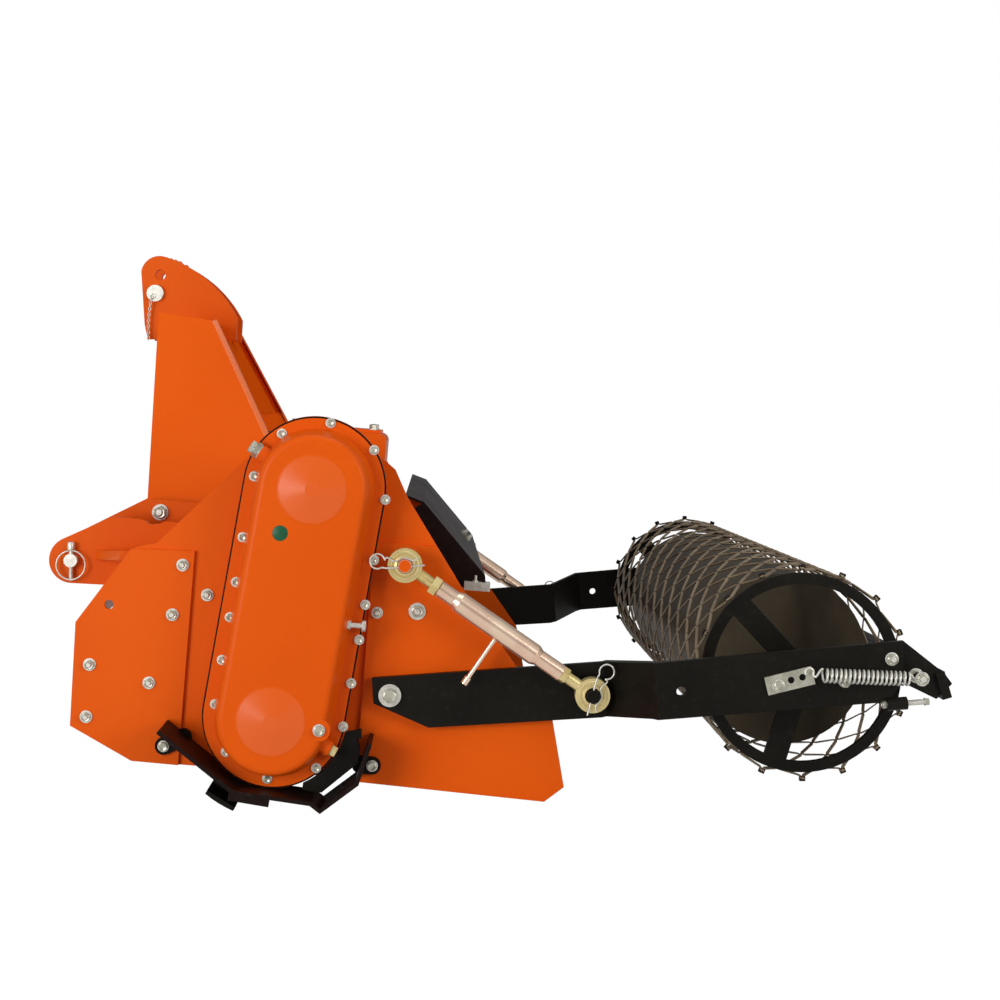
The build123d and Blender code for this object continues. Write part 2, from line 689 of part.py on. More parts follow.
def roller_end():
    """End ring of the roller with its flat spokes and hub."""
    x, z = arm_point(ROLLER_U, ROLLER_V)
    face = Circle(RING_R) - Circle(RING_IN)
    for angle in SPOKE_ANGLES:
        spoke = Rot(0, 0, angle) * Pos((RING_IN + HUB_R) / 2, 0)
        face += spoke * Rectangle(RING_IN - HUB_R + SPOKE_W / 4, SPOKE_W)
    face += Circle(HUB_R)
    end = slab(face, -RING_Y - RING_T, -RING_Y) + rod(0, 0, -RING_Y - HUB_L, -RING_Y, HUB_R)
    end -= rod(0, 0, -RING_Y - HUB_L, -RING_Y, AXLE_R + AXLE_FIT)
    return Pos(x, 0, z) * end


def roller_mesh():
    """Sleeve of diamond mesh on the end rings: a flat-sided tube with its cells cut out."""
    x, z = arm_point(ROLLER_U, ROLLER_V)
    sides = 2 * MESH_ROUND
    section = RegularPolygon(MESH_R, sides) - RegularPolygon(MESH_R - MESH_T, sides)
    sleeve = slab(section, -MESH_HALF, MESH_HALF)
    half_angle = 180 / MESH_ROUND
    half_cell = MESH_R * math.radians(half_angle) - STRAND_W / 2
    cells = []
    diamond = outline(
        [(MESH_CELL / 2 - STRAND_W, 0), (0, half_cell), (STRAND_W - MESH_CELL / 2, 0), (0, -half_cell)]
    )
    cutter = extrude(Plane.YZ * diamond, amount=40)
    rows = int(2 * MESH_HALF / MESH_CELL)
    for ring in range(2 * rows - 1):
        y = (ring + 1) * MESH_CELL / 2 - MESH_HALF
        for k in range(MESH_ROUND):
            angle = (2 * k + ring % 2) * half_angle
            cells.append(Rot(0, angle, 0) * Pos(MESH_R - 20, y, 0) * cutter)
    sleeve -= cells
    spike = Box(
        SPIKE_R - MESH_R + MESH_T, SPIKE_W, SPIKE_W, align=(Align.MAX, Align.MIN, Align.CENTER)
    )
    spike = Pos(SPIKE_R, -MESH_HALF, 0) * spike
    spikes = [Rot(0, 2 * k * half_angle, 0) * spike for k in range(MESH_ROUND)]
    sleeve += spikes + [opposite(part) for part in spikes]
    return Pos(x, 0, z) * Rot(0, -MESH_TURN, 0) * sleeve


def scraper():
    """Bar behind the roller on two levers that swing on the arms' ends."""
    inner = -ARM_IN - ARM_JOG + SCRAPER_GAP
    lever = Pos(SCRAPER_U, SCRAPER_V) * (outline(SCRAPER_LEVER) - Circle(SCRAPER_PIN_R + PIN_FIT))
    near = slab(lever, inner, inner + SCRAPER_LEVER_T)
    bolt_u, bolt_v = SCRAPER_U + SPRING_BOLT[0], SCRAPER_V + SPRING_BOLT[1]
    near += rod(bolt_u, bolt_v, inner - SPRING_BOLT_L, inner, SPRING_BOLT_R)
    bar_u, bar_v = SCRAPER_U + SCRAPER_BAR_PLACE[0], SCRAPER_V + SCRAPER_BAR_PLACE[1]
    bar = slab(
        Pos(bar_u, bar_v) * Rot(0, 0, SCRAPER_BAR_TURN) * Rectangle(*SCRAPER_BAR),
        inner - SCRAPER_BAR_END, -inner + SCRAPER_BAR_END,
    )
    return in_arm(near + opposite(near) + bar)


def spring():
    """Tension spring as its outer tube, with the wire ends that hook on plate and bolt."""
    outer = -ARM_IN - ARM_JOG - ARM_T
    y = outer - SPRING_OFF
    hook_u, hook_v = ROLLER_U + ANCHOR_HOOK[0], ROLLER_V + ANCHOR_HOOK[1]
    start = Vector(hook_u, y, hook_v)
    end = Vector(SCRAPER_U + SPRING_BOLT[0] - SPRING_BOLT_R - SEAT_GAP, y, SCRAPER_V + SPRING_BOLT[1])
    axis = (end - start).normalized()
    length = (end - start).length
    coil = extrude(Circle(SPRING_R) - Circle(SPRING_BORE), length - 2 * SPRING_HOOK)
    wire = extrude(Circle(SPRING_WIRE), length)
    web = extrude(Circle(SPRING_R), SPRING_WIRE)
    body = Pos(0, 0, SPRING_HOOK) * (coil + web) + wire
    hook = rod(hook_u, hook_v, y, outer - ANCHOR_T - SEAT_GAP, SPRING_WIRE)
    return in_arm(Plane(start, z_dir=axis) * body + hook)


def anchor():
    """Drilled plate on the arm that holds the spring's fixed end."""
    outer = -ARM_IN - ARM_JOG - ARM_T
    face = strip(ANCHOR_LINE, ANCHOR_W)
    for place in ANCHOR_HOLES:
        face -= Pos(*place) * Circle(ANCHOR_HOLE_R)
    return in_arm(slab(Pos(ROLLER_U, ROLLER_V) * face, outer - ANCHOR_T, outer))


def link_frame(part):
    """Places a piece drawn along +x from the turnbuckle's upper pin."""
    low = arm_point(*LINK_LOW)
    slope = math.degrees(math.atan2(low[1] - LINK_UP[1], low[0] - LINK_UP[0]))
    return Pos(LINK_UP[0], -LINK_Y, LINK_UP[1]) * Rot(0, -slope, 0) * part


def link_length():
    low = arm_point(*LINK_LOW)
    return math.hypot(low[0] - LINK_UP[0], low[1] - LINK_UP[1])


def along(x0, x1, radius):
    """A round bar along x."""
    return Pos(x0, 0, 0) * Rot(0, 90, 0) * Cylinder(
        radius, x1 - x0, align=(Align.CENTER, Align.CENTER, Align.MIN)
    )


def eye(x):
    return Pos(x, 0, 0) * Rot(90, 0, 0) * Cylinder(LINK_EYE_R, LINK_EYE_W)


def eye_bore(x, play=PIN_FIT):
    return Pos(x, 0, 0) * Rot(90, 0, 0) * Cylinder(LINK_PIN_R + play, LINK_EYE_W)


def turnbuckle():
    """Upper eye, its threaded rod and lock nut, and the sleeve with its handle."""
    start, end = LINK_TUBE_START, LINK_TUBE_END
    body = eye(0) + along(LINK_EYE_R / 2, start + LINK_TUBE_SOLID, LINK_ROD_R)
    body += along(start, end, LINK_TUBE_R) + along(*LINK_BELLY, LINK_BELLY_R)
    for x, small, large in (
        (LINK_BELLY[0] - LINK_BELLY_TAPER, LINK_TUBE_R, LINK_BELLY_R),
        (LINK_BELLY[1], LINK_BELLY_R, LINK_TUBE_R),
    ):
        taper = Cone(small, large, LINK_BELLY_TAPER, align=(Align.CENTER, Align.CENTER, Align.MIN))
        body += Pos(x, 0, 0) * Rot(0, 90, 0) * taper
    nut_end = start - LINK_NUT_GAP
    body += along(nut_end - LINK_NUT_L, nut_end, LINK_NUT_R)
    body -= along(start + LINK_TUBE_SOLID, end, LINK_ROD_R + LINK_TUBE_PLAY)
    end_r, end_l = LINK_HANDLE_END
    foot = (LINK_TUBE_R + LINK_BELLY_R) / 2
    body += drop(LINK_HANDLE_AT, foot, LINK_HANDLE_L, LINK_HANDLE_R)
    body += drop(LINK_HANDLE_AT, LINK_HANDLE_L - end_l, LINK_HANDLE_L, end_r)
    return link_frame(body - eye_bore(0))


def turnbuckle_rod():
    """Lower eye and the threaded rod that runs in the sleeve."""
    length = link_length()
    body = eye(length) + along(LINK_ROD_START, length - LINK_EYE_R / 2, LINK_ROD_R)
    return link_frame(body - eye_bore(length, LINK_PLAY))


def drop(x, near, far, radius):
    """A round bar that hangs square from the turnbuckle's axis."""
    return Pos(x, 0, -far) * Cylinder(
        radius, far - near, align=(Align.CENTER, Align.CENTER, Align.MIN)
    )


def pair(part):
    """Both sides' solids as one node."""
    return Compound(children=[part, opposite(part)])


def build():
    """Every node of the machine, in the working frame."""
    nodes = {
        "side_plate_left": side_plate(SIDE_TOP),
        "front_panel_left": front_panel(),
        "rear_panel_left": rear_panel(),
        "mast_plate_left": mast_plate(),
        "hitch_lugs_left": hitch_lugs(),
        "arm_left": arm(),
        "turnbuckle_left": turnbuckle(),
        "turnbuckle_rod_left": turnbuckle_rod(),
        "spring_left": spring(),
    }
    for name in list(nodes):
        nodes[name.replace("left", "right")] = opposite(nodes[name])
    nodes["side_plate_right"] = opposite(side_plate(SIDE_TOP_RIGHT))
    nodes.update({
        "hood": hood(),
        "front_beam": beam(FRONT_BEAM_X),
        "rear_beam": beam(REAR_BEAM_X),
        "gearbox_bed": gearbox_bed(),
        "gearbox": gearbox(),
        "input_shaft": input_shaft(),
        "pto_guard": pto_guard(),
        "drive_tube": drive_tube(),
        "brace_tube": brace_tube(),
        "chain_case": chain_case(),
        "chain_cover": chain_cover(),
        "guard_strap": guard_strap(),
        "bearing_housing": bearing_housing(),
        "mast_back": mast_back(),
        "mast_head": mast_head(),
        "linkage_pins": linkage_pins(),
        "rotor": rotor(),
        "comb": comb(),
        "bonnet": bonnet(),
        "bonnet_brackets": bonnet_brackets(),
        "pivot_pins": pivot_pins(),
        "roller_bearings": pair(roller_bearing()),
        "roller_drum": roller_drum(),
        "roller_ends": pair(roller_end()),
        "roller_mesh": roller_mesh(),
        "scraper": scraper(),
        "spring_anchors": pair(anchor()),
    })
    return nodes


def parked(nodes):
    """The location that leans the machine back and centres its footprint."""
    leant = [Rot(0, LEAN, 0) * part for part in nodes.values()]
    boxes = [part.bounding_box() for part in leant]
    x_middle = (min(b.min.X for b in boxes) + max(b.max.X for b in boxes)) / 2
    y_middle = (min(b.min.Y for b in boxes) + max(b.max.Y for b in boxes)) / 2
    floor = min(b.min.Z for b in boxes)
    return Pos(-x_middle, -y_middle, -floor) * Rot(0, LEAN, 0)


NODES = build()
PARKED = parked(NODES)
os.makedirs("parts", exist_ok=True)
for node_name, node_part in NODES.items():
    export_step(PARKED * node_part, f"parts/{node_name}.step")
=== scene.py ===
import bpy
import bmesh
import json
import math
from mathutils import Matrix, Vector

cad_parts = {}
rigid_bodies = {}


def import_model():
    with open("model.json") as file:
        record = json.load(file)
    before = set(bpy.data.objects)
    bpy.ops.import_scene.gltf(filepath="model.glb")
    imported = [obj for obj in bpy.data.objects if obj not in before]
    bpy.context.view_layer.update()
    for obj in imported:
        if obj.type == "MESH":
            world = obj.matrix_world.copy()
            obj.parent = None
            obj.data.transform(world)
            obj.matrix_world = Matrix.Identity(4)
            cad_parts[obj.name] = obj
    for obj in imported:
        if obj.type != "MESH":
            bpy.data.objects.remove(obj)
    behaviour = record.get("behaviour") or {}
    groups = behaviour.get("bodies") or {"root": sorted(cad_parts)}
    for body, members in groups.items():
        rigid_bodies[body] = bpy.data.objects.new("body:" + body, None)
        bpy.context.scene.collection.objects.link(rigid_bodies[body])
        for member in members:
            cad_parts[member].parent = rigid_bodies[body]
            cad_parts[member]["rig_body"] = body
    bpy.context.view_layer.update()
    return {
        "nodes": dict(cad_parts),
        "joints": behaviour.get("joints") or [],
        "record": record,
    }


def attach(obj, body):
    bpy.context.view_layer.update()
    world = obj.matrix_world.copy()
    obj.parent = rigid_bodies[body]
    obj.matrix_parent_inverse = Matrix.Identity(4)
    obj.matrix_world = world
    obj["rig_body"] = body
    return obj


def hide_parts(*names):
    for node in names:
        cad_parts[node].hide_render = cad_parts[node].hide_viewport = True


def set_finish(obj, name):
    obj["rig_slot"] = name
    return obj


# Stone burier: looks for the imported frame, which is in metres. Points of the machine are given
# in millimetres of its own frame, which leans with the machine, or of the roller's arm.
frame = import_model()
nodes = frame["nodes"]
places = {j["name"]: Vector(j["pos_m"]) for j in frame["joints"] if "pos_m" in j}

LEAN = math.radians(10.1)
ORIGIN = places["rotor_spin"]
PIVOT = places["arm_lift"]
AXLE = places["roller_spin"]
ROLLER_U, ROLLER_V = 0.632, -0.007  # the roller's axle in the arm's frame, in metres
ARM_TURN = math.atan2(AXLE.z - PIVOT.z, AXLE.x - PIVOT.x) - math.atan2(ROLLER_V, ROLLER_U)

WORK = Matrix.Translation(ORIGIN) @ Matrix.Rotation(LEAN, 4, "Y")
ARM = Matrix.Translation(PIVOT) @ Matrix.Rotation(-ARM_TURN, 4, "Y")
MM = 0.001

# Distances to each side in millimetres, and places in the machine's x and z or in the arm's
DRIVE_X, DRIVE_Z = 35, 352  # upper shaft of the side drive
COVER_FLANGE_Y = 604
COVER_Y = 648  # flat face of the drive's cover
DOME_Y = 652
CASE_Y = 617  # middle of the case, where its plugs sit
DARK_LINE_Y = 600.6
DARK_LINE_R = 108.4
PANEL_Y = 561
PLATE_Y = 555
STRAP_Y = 567.3
WEB_Y = 599
FOOT_Y = 649
BEARING_Y = 567
TUBE_FLANGE_Y = 563  # the drive's right-hand flange
GEARBOX_FLANGE_Y = 106
GEARBOX_TOP_Z = 440
BED_Z = 280
LUG_BOLT_Y = 346
LUG_PIN_Y = 413.5  # linch pins of the lower links
LINK_Y = 602  # middle of the turnbuckles
CLIP_Y = 619
PIN_TIP_Y = 612.5
ARM_PIVOT_Y = 583
ARM_OUT_Y = 689  # outer face of the arms' rear ends
ANCHOR_Y = 693
LEVER_IN_Y, LEVER_OUT_Y = 676.4, 708.6
SPRING_Y = 706
STOP_Y = 690
LOW_X, LOW_Z = 482.1, 71.1  # turnbuckle's lower and upper eyes
UP_X, UP_Z = 182.0, 246.0
LEVER = (783, -9)  # the scraper's pivot bolt, on the arm
STOP_Z = -46

OUT_LEFT = Vector((0, -1, 0))
OUT_RIGHT = Vector((0, 1, 0))
SIDES = ((-1, "left", OUT_LEFT), (1, "right", OUT_RIGHT))


def at(x, y, z, base=WORK):
    """A point given in millimetres of the machine's own frame, or of the arm's."""
    return base @ Vector((x * MM, y * MM, z * MM))


def along_work(dx, dz):
    """A direction of the machine's own frame."""
    return (at(dx, 0, dz) - at(0, 0, 0)).normalized()


def turned(angle, radius, x=0, z=0):
    """The x and z of a point on a circle about x and z."""
    return x + radius * math.cos(angle), z + radius * math.sin(angle)


# Materials

# Sockets of a colour mix
MIX_FACTOR, MIX_BELOW, MIX_ABOVE, MIX_RESULT = 0, 6, 7, 2


def wire_up(mat):
    """A material's nodes, its links and its main shader."""
    tree = mat.node_tree
    return tree.nodes, tree.links, tree.nodes["Principled BSDF"]


def noise(ns, ls, vector, scale, detail):
    """A noise texture over vector."""
    node = ns.new("ShaderNodeTexNoise")
    node.inputs["Scale"].default_value = scale
    node.inputs["Detail"].default_value = detail
    ls.new(vector, node.inputs["Vector"])
    return node.outputs["Fac"]


def remap(ns, ls, value, **ends):
    """A map range, by those of from_min, from_max, to_min and to_max that aren't 0 or 1."""
    node = ns.new("ShaderNodeMapRange")
    for end, amount in ends.items():
        node.inputs[end.replace("_", " ").title()].default_value = amount
    ls.new(value, node.inputs["Value"])
    return node.outputs["Result"]


def reckon(ns, ls, operation, first, second):
    """One sum of a socket with a socket or a number."""
    node = ns.new("ShaderNodeMath")
    node.operation = operation
    ls.new(first, node.inputs[0])
    if isinstance(second, float):
        node.inputs[1].default_value = second
    else:
        ls.new(second, node.inputs[1])
    return node.outputs["Value"]


def largest(ns, ls, sockets):
    """The largest of several sockets."""
    result = sockets[0]
    for socket in sockets[1:]:
        result = reckon(ns, ls, "MAXIMUM", result, socket)
    return result


def blend(ns, ls, amount, below, colour):
    """Lays a colour over the one in a socket, by an amount from 0 to 1."""
    mix = ns.new("ShaderNodeMix")
    mix.data_type = "RGBA"
    mix.inputs[MIX_ABOVE].default_value = (*colour, 1)
    ls.new(amount, mix.inputs[MIX_FACTOR])
    ls.new(below, mix.inputs[MIX_BELOW])
    return mix.outputs[MIX_RESULT]


def finish_of(
    name, low, high, rough=(0.3, 0.45), metallic=0.0, scale=5.0, grain=350.0, bump=0.05,
    edge=0.0012, specks=None, speck_scale=90.0, speck_amount=0.0, stretch=(1, 1, 1), spec=0.5,
):
    """A procedural finish: slow colour drift, fine grain, specks and softened edges."""
    mat = bpy.data.materials.new(name)
    mat.use_nodes = True
    ns, ls, shader = wire_up(mat)
    coord = ns.new("ShaderNodeTexCoord")
    mapping = ns.new("ShaderNodeMapping")
    mapping.inputs["Scale"].default_value = stretch
    ls.new(coord.outputs["Object"], mapping.inputs["Vector"])
    vector = mapping.outputs["Vector"]
    drift = noise(ns, ls, vector, scale, 5.0)
    ramp = ns.new("ShaderNodeValToRGB")
    ramp.color_ramp.elements[0].position = 0.3
    ramp.color_ramp.elements[1].position = 0.7
    ramp.color_ramp.elements[0].color = (*low, 1)
    ramp.color_ramp.elements[1].color = (*high, 1)
    ls.new(drift, ramp.inputs["Fac"])
    colour = ramp.outputs["Color"]
    if speck_amount:
        dots = noise(ns, ls, vector, speck_scale, 6.0)
        mask = remap(ns, ls, dots, from_min=0.56, from_max=0.7, to_max=speck_amount)
        colour = blend(ns, ls, mask, colour, specks)
    ls.new(colour, shader.inputs["Base Color"])
    shader.inputs["Metallic"].default_value = metallic
    shader.inputs["Specular IOR Level"].default_value = spec
    gloss = remap(ns, ls, drift, to_min=rough[0], to_max=rough[1])
    ls.new(gloss, shader.inputs["Roughness"])
    fine = noise(ns, ls, vector, grain, 3.0)
    soft = ns.new("ShaderNodeBevel")
    soft.samples = 4
    soft.inputs["Radius"].default_value = edge
    relief = ns.new("ShaderNodeBump")
    relief.inputs["Strength"].default_value = bump
    relief.inputs["Distance"].default_value = 0.001
    ls.new(fine, relief.inputs["Height"])
    ls.new(soft.outputs["Normal"], relief.inputs["Normal"])
    ls.new(relief.outputs["Normal"], shader.inputs["Normal"])
    return mat


PAINT = {
    "scale": 3.0, "grain": 260.0, "bump": 0.03, "specks": (0.6, 0.07, 0.003), "speck_amount": 0.08,
}
PAINT_LOW, PAINT_HIGH = (0.69, 0.086, 0.0025), (0.75, 0.102, 0.0035)
ORANGE = finish_of(
    "orange_paint", PAINT_LOW, PAINT_HIGH, rough=(0.30, 0.42), spec=0.09, **PAINT
)
COVER = finish_of("cover_paint", PAINT_LOW, PAINT_HIGH, rough=(0.28, 0.38), spec=0.09, **PAINT)
# A darker, matt copy of the orange paint for the mast's back plate: painted shade.
MATT_PAINTED_SHADE = finish_of(
    "shaded_paint", (0.66, 0.078, 0.0025), (0.72, 0.094, 0.0035), rough=(0.55, 0.65), spec=0.0,
    **PAINT,
)
# Lighter, glossier orange for the mast's folded edges and weld beads: a painted highlight.
EDGE_PAINTED_HIGHLIGHT = finish_of(
    "edge_painted_highlight", (0.74, 0.13, 0.02), (0.80, 0.17, 0.035), rough=(0.2, 0.3), scale=3.0,
    grain=260.0, bump=0.03, edge=0.003, spec=0.5,
)
BLACK = finish_of(
    "black_paint", (0.0050, 0.0042, 0.0030), (0.0105, 0.0088, 0.0065), rough=(0.34, 0.46),
    scale=7.0, grain=420.0, bump=0.06, specks=(0.026, 0.022, 0.017), speck_amount=0.25, spec=0.09,
)
REDBLACK = finish_of(
    "dark_paint", (0.0055, 0.0025, 0.002), (0.012, 0.005, 0.0038), rough=(0.34, 0.5), scale=9.0,
    grain=380.0, bump=0.08, specks=(0.03, 0.016, 0.013), speck_amount=0.35, spec=0.09,
)
CAST = finish_of(
    "cast_iron", (0.012, 0.011, 0.010), (0.026, 0.023, 0.021), rough=(0.5, 0.7), scale=14.0,
    grain=160.0, bump=0.35, edge=0.002, spec=0.4,
)
ZINC = finish_of(
    "zinc", (0.56, 0.55, 0.49), (0.74, 0.72, 0.65), rough=(0.30, 0.46), metallic=0.65, scale=60.0,
    grain=500.0, bump=0.08, edge=0.0006, specks=(0.34, 0.33, 0.3), speck_amount=0.4,
)
# Darker, yellowish zinc for hex heads and the spring anchors. On the hex heads the yellowish tone
# is their own, and the darkening against the washers is painted shade.
HEAD = finish_of(
    "zinc_heads", (0.36, 0.35, 0.27), (0.54, 0.52, 0.43), rough=(0.2, 0.36), metallic=0.6,
    scale=70.0, grain=500.0, bump=0.1, edge=0.0008, specks=(0.5, 0.49, 0.44), speck_amount=0.5,
)
YELLOW = finish_of(
    "yellow_zinc", (0.62, 0.48, 0.17), (0.76, 0.64, 0.33), rough=(0.22, 0.4), metallic=0.6,
    scale=22.0, grain=500.0, bump=0.06, edge=0.0006, specks=(0.60, 0.40, 0.20),
    speck_amount=0.5, speck_scale=30.0,
)
PINK = finish_of(
    "pink_zinc", (0.80, 0.54, 0.40), (0.90, 0.70, 0.52), rough=(0.16, 0.3), metallic=0.8,
    scale=22.0, grain=500.0, bump=0.05, edge=0.0006, specks=(0.74, 0.60, 0.26),
    speck_amount=0.75, speck_scale=17.0,
)
STEEL = finish_of(
    "bare_steel", (0.32, 0.31, 0.30), (0.46, 0.45, 0.43), rough=(0.25, 0.4), metallic=1.0,
    scale=30.0, grain=600.0, bump=0.1,
)
MESH = finish_of(
    "mesh_steel", (0.17, 0.125, 0.075), (0.32, 0.245, 0.155), rough=(0.38, 0.56), metallic=0.2,
    scale=16.0, grain=300.0, bump=0.15, edge=0.0006, specks=(0.03, 0.022, 0.014),
    speck_amount=0.6, spec=0.6,
)
DRUM = finish_of(
    "drum_paint", (0.010, 0.0078, 0.0052), (0.080, 0.062, 0.040), rough=(0.3, 0.42), scale=7.0,
    grain=200.0, bump=0.05, spec=0.06, stretch=(1, 0.25, 0.35),
)
PLASTIC = finish_of(
    "black_plastic", (0.010, 0.010, 0.010), (0.018, 0.018, 0.018), rough=(0.45, 0.6),
    scale=12.0, grain=300.0, bump=0.1, spec=0.4,
)
GREEN = finish_of(
    "green_dot", (0.006, 0.075, 0.03), (0.009, 0.095, 0.04), rough=(0.35, 0.45), scale=80.0,
    grain=600.0, bump=0.03, edge=0.0002, spec=0.3,
)


def near(mat, centres, radius, soft):
    """A mask that is 0 beyond radius of the centres and rises to 1 over soft."""
    ns, ls, shader = wire_up(mat)
    coord = ns.new("ShaderNodeTexCoord")
    rings = []
    for centre in centres:
        apart = ns.new("ShaderNodeVectorMath")
        apart.operation = "DISTANCE"
        apart.inputs[1].default_value = centre
        ls.new(coord.outputs["Object"], apart.inputs[0])
        inner = radius - soft
        rings.append(remap(ns, ls, apart.outputs["Value"], from_min=radius, from_max=inner))
    return largest(ns, ls, rings)


def tint(mat, amount, share, colour):
    """Mixes a colour into a finish where amount says so."""
    ns, ls, shader = wire_up(mat)
    part = reckon(ns, ls, "MULTIPLY", amount, share)
    below = shader.inputs["Base Color"].links[0].from_socket
    ls.new(blend(ns, ls, part, below, colour), shader.inputs["Base Color"])


# The cover's two domes get a glossy coat and a lighter orange mixed into their colour as a painted
# highlight; the turnbuckles' upper eyes are yellow.
dome_tops = [at(0, -DOME_Y, 0), at(DRIVE_X, -DOME_Y, DRIVE_Z)]
dome_gloss_and_painted_highlight = near(COVER, dome_tops, 0.0525, 0.003)
# Painted highlight: a lighter orange laid over the paint on the domes.
tint(COVER, dome_gloss_and_painted_highlight, 0.22, (0.80, 0.16, 0.03))
ns, ls, shader = wire_up(COVER)
ls.new(reckon(ns, ls, "MULTIPLY", dome_gloss_and_painted_highlight, 0.6), shader.inputs["Coat Weight"])
shader.inputs["Coat Roughness"].default_value = 0.2
eyes = near(PINK, [at(UP_X, y, UP_Z) for y in (-LINK_Y, LINK_Y)], 0.062, 0.004)
tint(PINK, eyes, 1.0, (0.68, 0.55, 0.24))

LOOK = {
    "orange": ORANGE, "black_paint": BLACK, "dark_paint": REDBLACK, "cast": CAST, "zinc": ZINC,
    "yellow_zinc": YELLOW, "bare_steel": STEEL, "mesh_steel": MESH, "black_plastic": PLASTIC,
}
OWN_LOOK = {
    "chain_cover": COVER, "mast_back": MATT_PAINTED_SHADE, "roller_drum": DRUM, "spring_anchors": HEAD,
    "turnbuckle_left": PINK, "turnbuckle_right": PINK,
}
slots = {s["node"]: s["material_slot"] for s in frame["record"]["subparts"]}
for node_name, node in nodes.items():
    node.data.materials.clear()
    node.data.materials.append(OWN_LOOK.get(node_name, LOOK[slots[node_name]]))


# Mesh building


def new_piece(name, bm, mat, body, slot=None, smooth=35):
    """Turns a bmesh into a piece that rides on a body. Hex heads on zinc get a darker, yellowish
    zinc: partly their own tone, partly painted shade.
    """
    mesh = bpy.data.meshes.new(name)
    bmesh.ops.recalc_face_normals(bm, faces=bm.faces)
    bm.to_mesh(mesh)
    bm.free()
    for face in mesh.polygons:
        face.use_smooth = True
    mesh.set_sharp_from_angle(angle=math.radians(smooth))
    mesh.materials.append(mat)
    if mat is ZINC and any(face.material_index for face in mesh.polygons):
        mesh.materials.append(HEAD)
    else:
        for face in mesh.polygons:
            face.material_index = 0
    obj = bpy.data.objects.new(name, mesh)
    bpy.context.scene.collection.objects.link(obj)
    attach(obj, body)
    if slot:
        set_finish(obj, slot)
    return obj


def frame_on(origin, axis, up=None):
    """A matrix whose z runs along axis from origin."""
    z = axis.normalized()
    if up is None:
        up = Vector((0, 0, 1)) if abs(z.z) < 0.9 else Vector((1, 0, 0))
    x = (up - z * up.dot(z)).normalized()
    y = z.cross(x)
    m = Matrix((x, y, z)).transposed().to_4x4()
    m.translation = origin
    return m


def lathe(bm, m, profile, sides=24, phase=0.0, finish=0):
    """A turned form: (radius, height) pairs in metres along m's z, closed at zero radius."""
    rings = []
    for radius, height in profile:
        if radius <= 0:
            rings.append([bm.verts.new(m @ Vector((0, 0, height)))])
            continue
        ring = []
        for i in range(sides):
            u, v = turned(phase + 2 * math.pi * i / sides, radius)
            ring.append(bm.verts.new(m @ Vector((u, v, height))))
        rings.append(ring)
    for lower, upper in zip(rings, rings[1:]):
        for i in range(sides):
            j = (i + 1) % sides
            if len(lower) == 1 and len(upper) == 1:
                continue
            if len(lower) == 1:
                corners = (lower[0], upper[j], upper[i])
            elif len(upper) == 1:
                corners = (lower[i], lower[j], upper[0])
            else:
                corners = (lower[i], lower[j], upper[j], upper[i])
            bm.faces.new(corners).material_index = finish


def hexagon(bm, m, across, height, base=0.0, phase=0.0, dish=0.0):
    """A hexagonal head or nut with a chamfer on top."""
    r = across / 2 / math.cos(math.pi / 6)
    top, chamfer = base + height, r * 0.13
    profile = [
        (0, base), (r, base), (r, top - chamfer * 0.55), (r - chamfer, top), (r * 0.5, top - dish),
        (0, top - dish),
    ]
    lathe(bm, m, profile, sides=6, phase=phase, finish=1)


def bolt(
    bm, point, axis, across=13, height=6, washer=None, washer_t=1.6, stud=0, phase=0.3,
):
    """A hex bolt head or nut on a washer, in millimetres, standing along axis from point."""
    m = frame_on(point, axis)
    washer = washer or across * 1.65
    w, t = washer / 2 * MM, washer_t * MM
    lathe(bm, m, [(0, 0), (w, 0), (w, t * 0.7), (w - t * 0.3, t), (0, t)])
    hexagon(bm, m, across * MM, height * MM, base=t, phase=phase, dish=0.9 * MM)
    if stud:
        r = across * 0.3 * MM
        top = t + height * MM + stud * MM
        lathe(bm, m, [(r, t), (r, top - r * 0.25), (r * 0.8, top), (0, top)], sides=16)


def sweep(name, points, radius, mat, body, slot=None, closed=False, smooth=True, resolution=6):
    """A round wire or bar along points."""
    curve = bpy.data.curves.new(name, "CURVE")
    curve.dimensions = "3D"
    kind = "NURBS" if smooth else "POLY"
    spline = curve.splines.new(kind)
    spline.points.add(len(points) - 1)
    for p, co in zip(spline.points, points):
        p.co = (*co, 1)
    if smooth:
        spline.order_u = 3
        spline.use_endpoint_u = not closed
    spline.use_cyclic_u = closed
    spline.resolution_u = resolution
    curve.bevel_depth = radius
    curve.bevel_resolution = 3
    curve.use_fill_caps = True
    holder = bpy.data.objects.new(name + "_line", curve)
    bpy.context.scene.collection.objects.link(holder)
    bpy.context.view_layer.update()
    solved = holder.evaluated_get(bpy.context.evaluated_depsgraph_get())
    mesh = bpy.data.meshes.new_from_object(solved)
    bpy.data.objects.remove(holder)
    bpy.data.curves.remove(curve)
    mesh.name = name
    for face in mesh.polygons:
        face.use_smooth = True
    mesh.materials.clear()
    mesh.materials.append(mat)
    obj = bpy.data.objects.new(name, mesh)
    bpy.context.scene.collection.objects.link(obj)
    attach(obj, body)
    if slot:
        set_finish(obj, slot)
    return obj


def joined(name, objs):
    """Several pieces of one material and body as one mesh."""
    bm = bmesh.new()
    for o in objs:
        bm.from_mesh(o.data)
    mesh = bpy.data.meshes.new(name)
    bm.to_mesh(mesh)
    bm.free()
    mesh.materials.append(objs[0].data.materials[0])
    first = bpy.data.objects.new(name, mesh)
    bpy.context.scene.collection.objects.link(first)
    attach(first, objs[0]["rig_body"])
    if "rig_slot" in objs[0]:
        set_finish(first, objs[0]["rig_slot"])
    for o in objs:
        bpy.data.objects.remove(o)
    return first


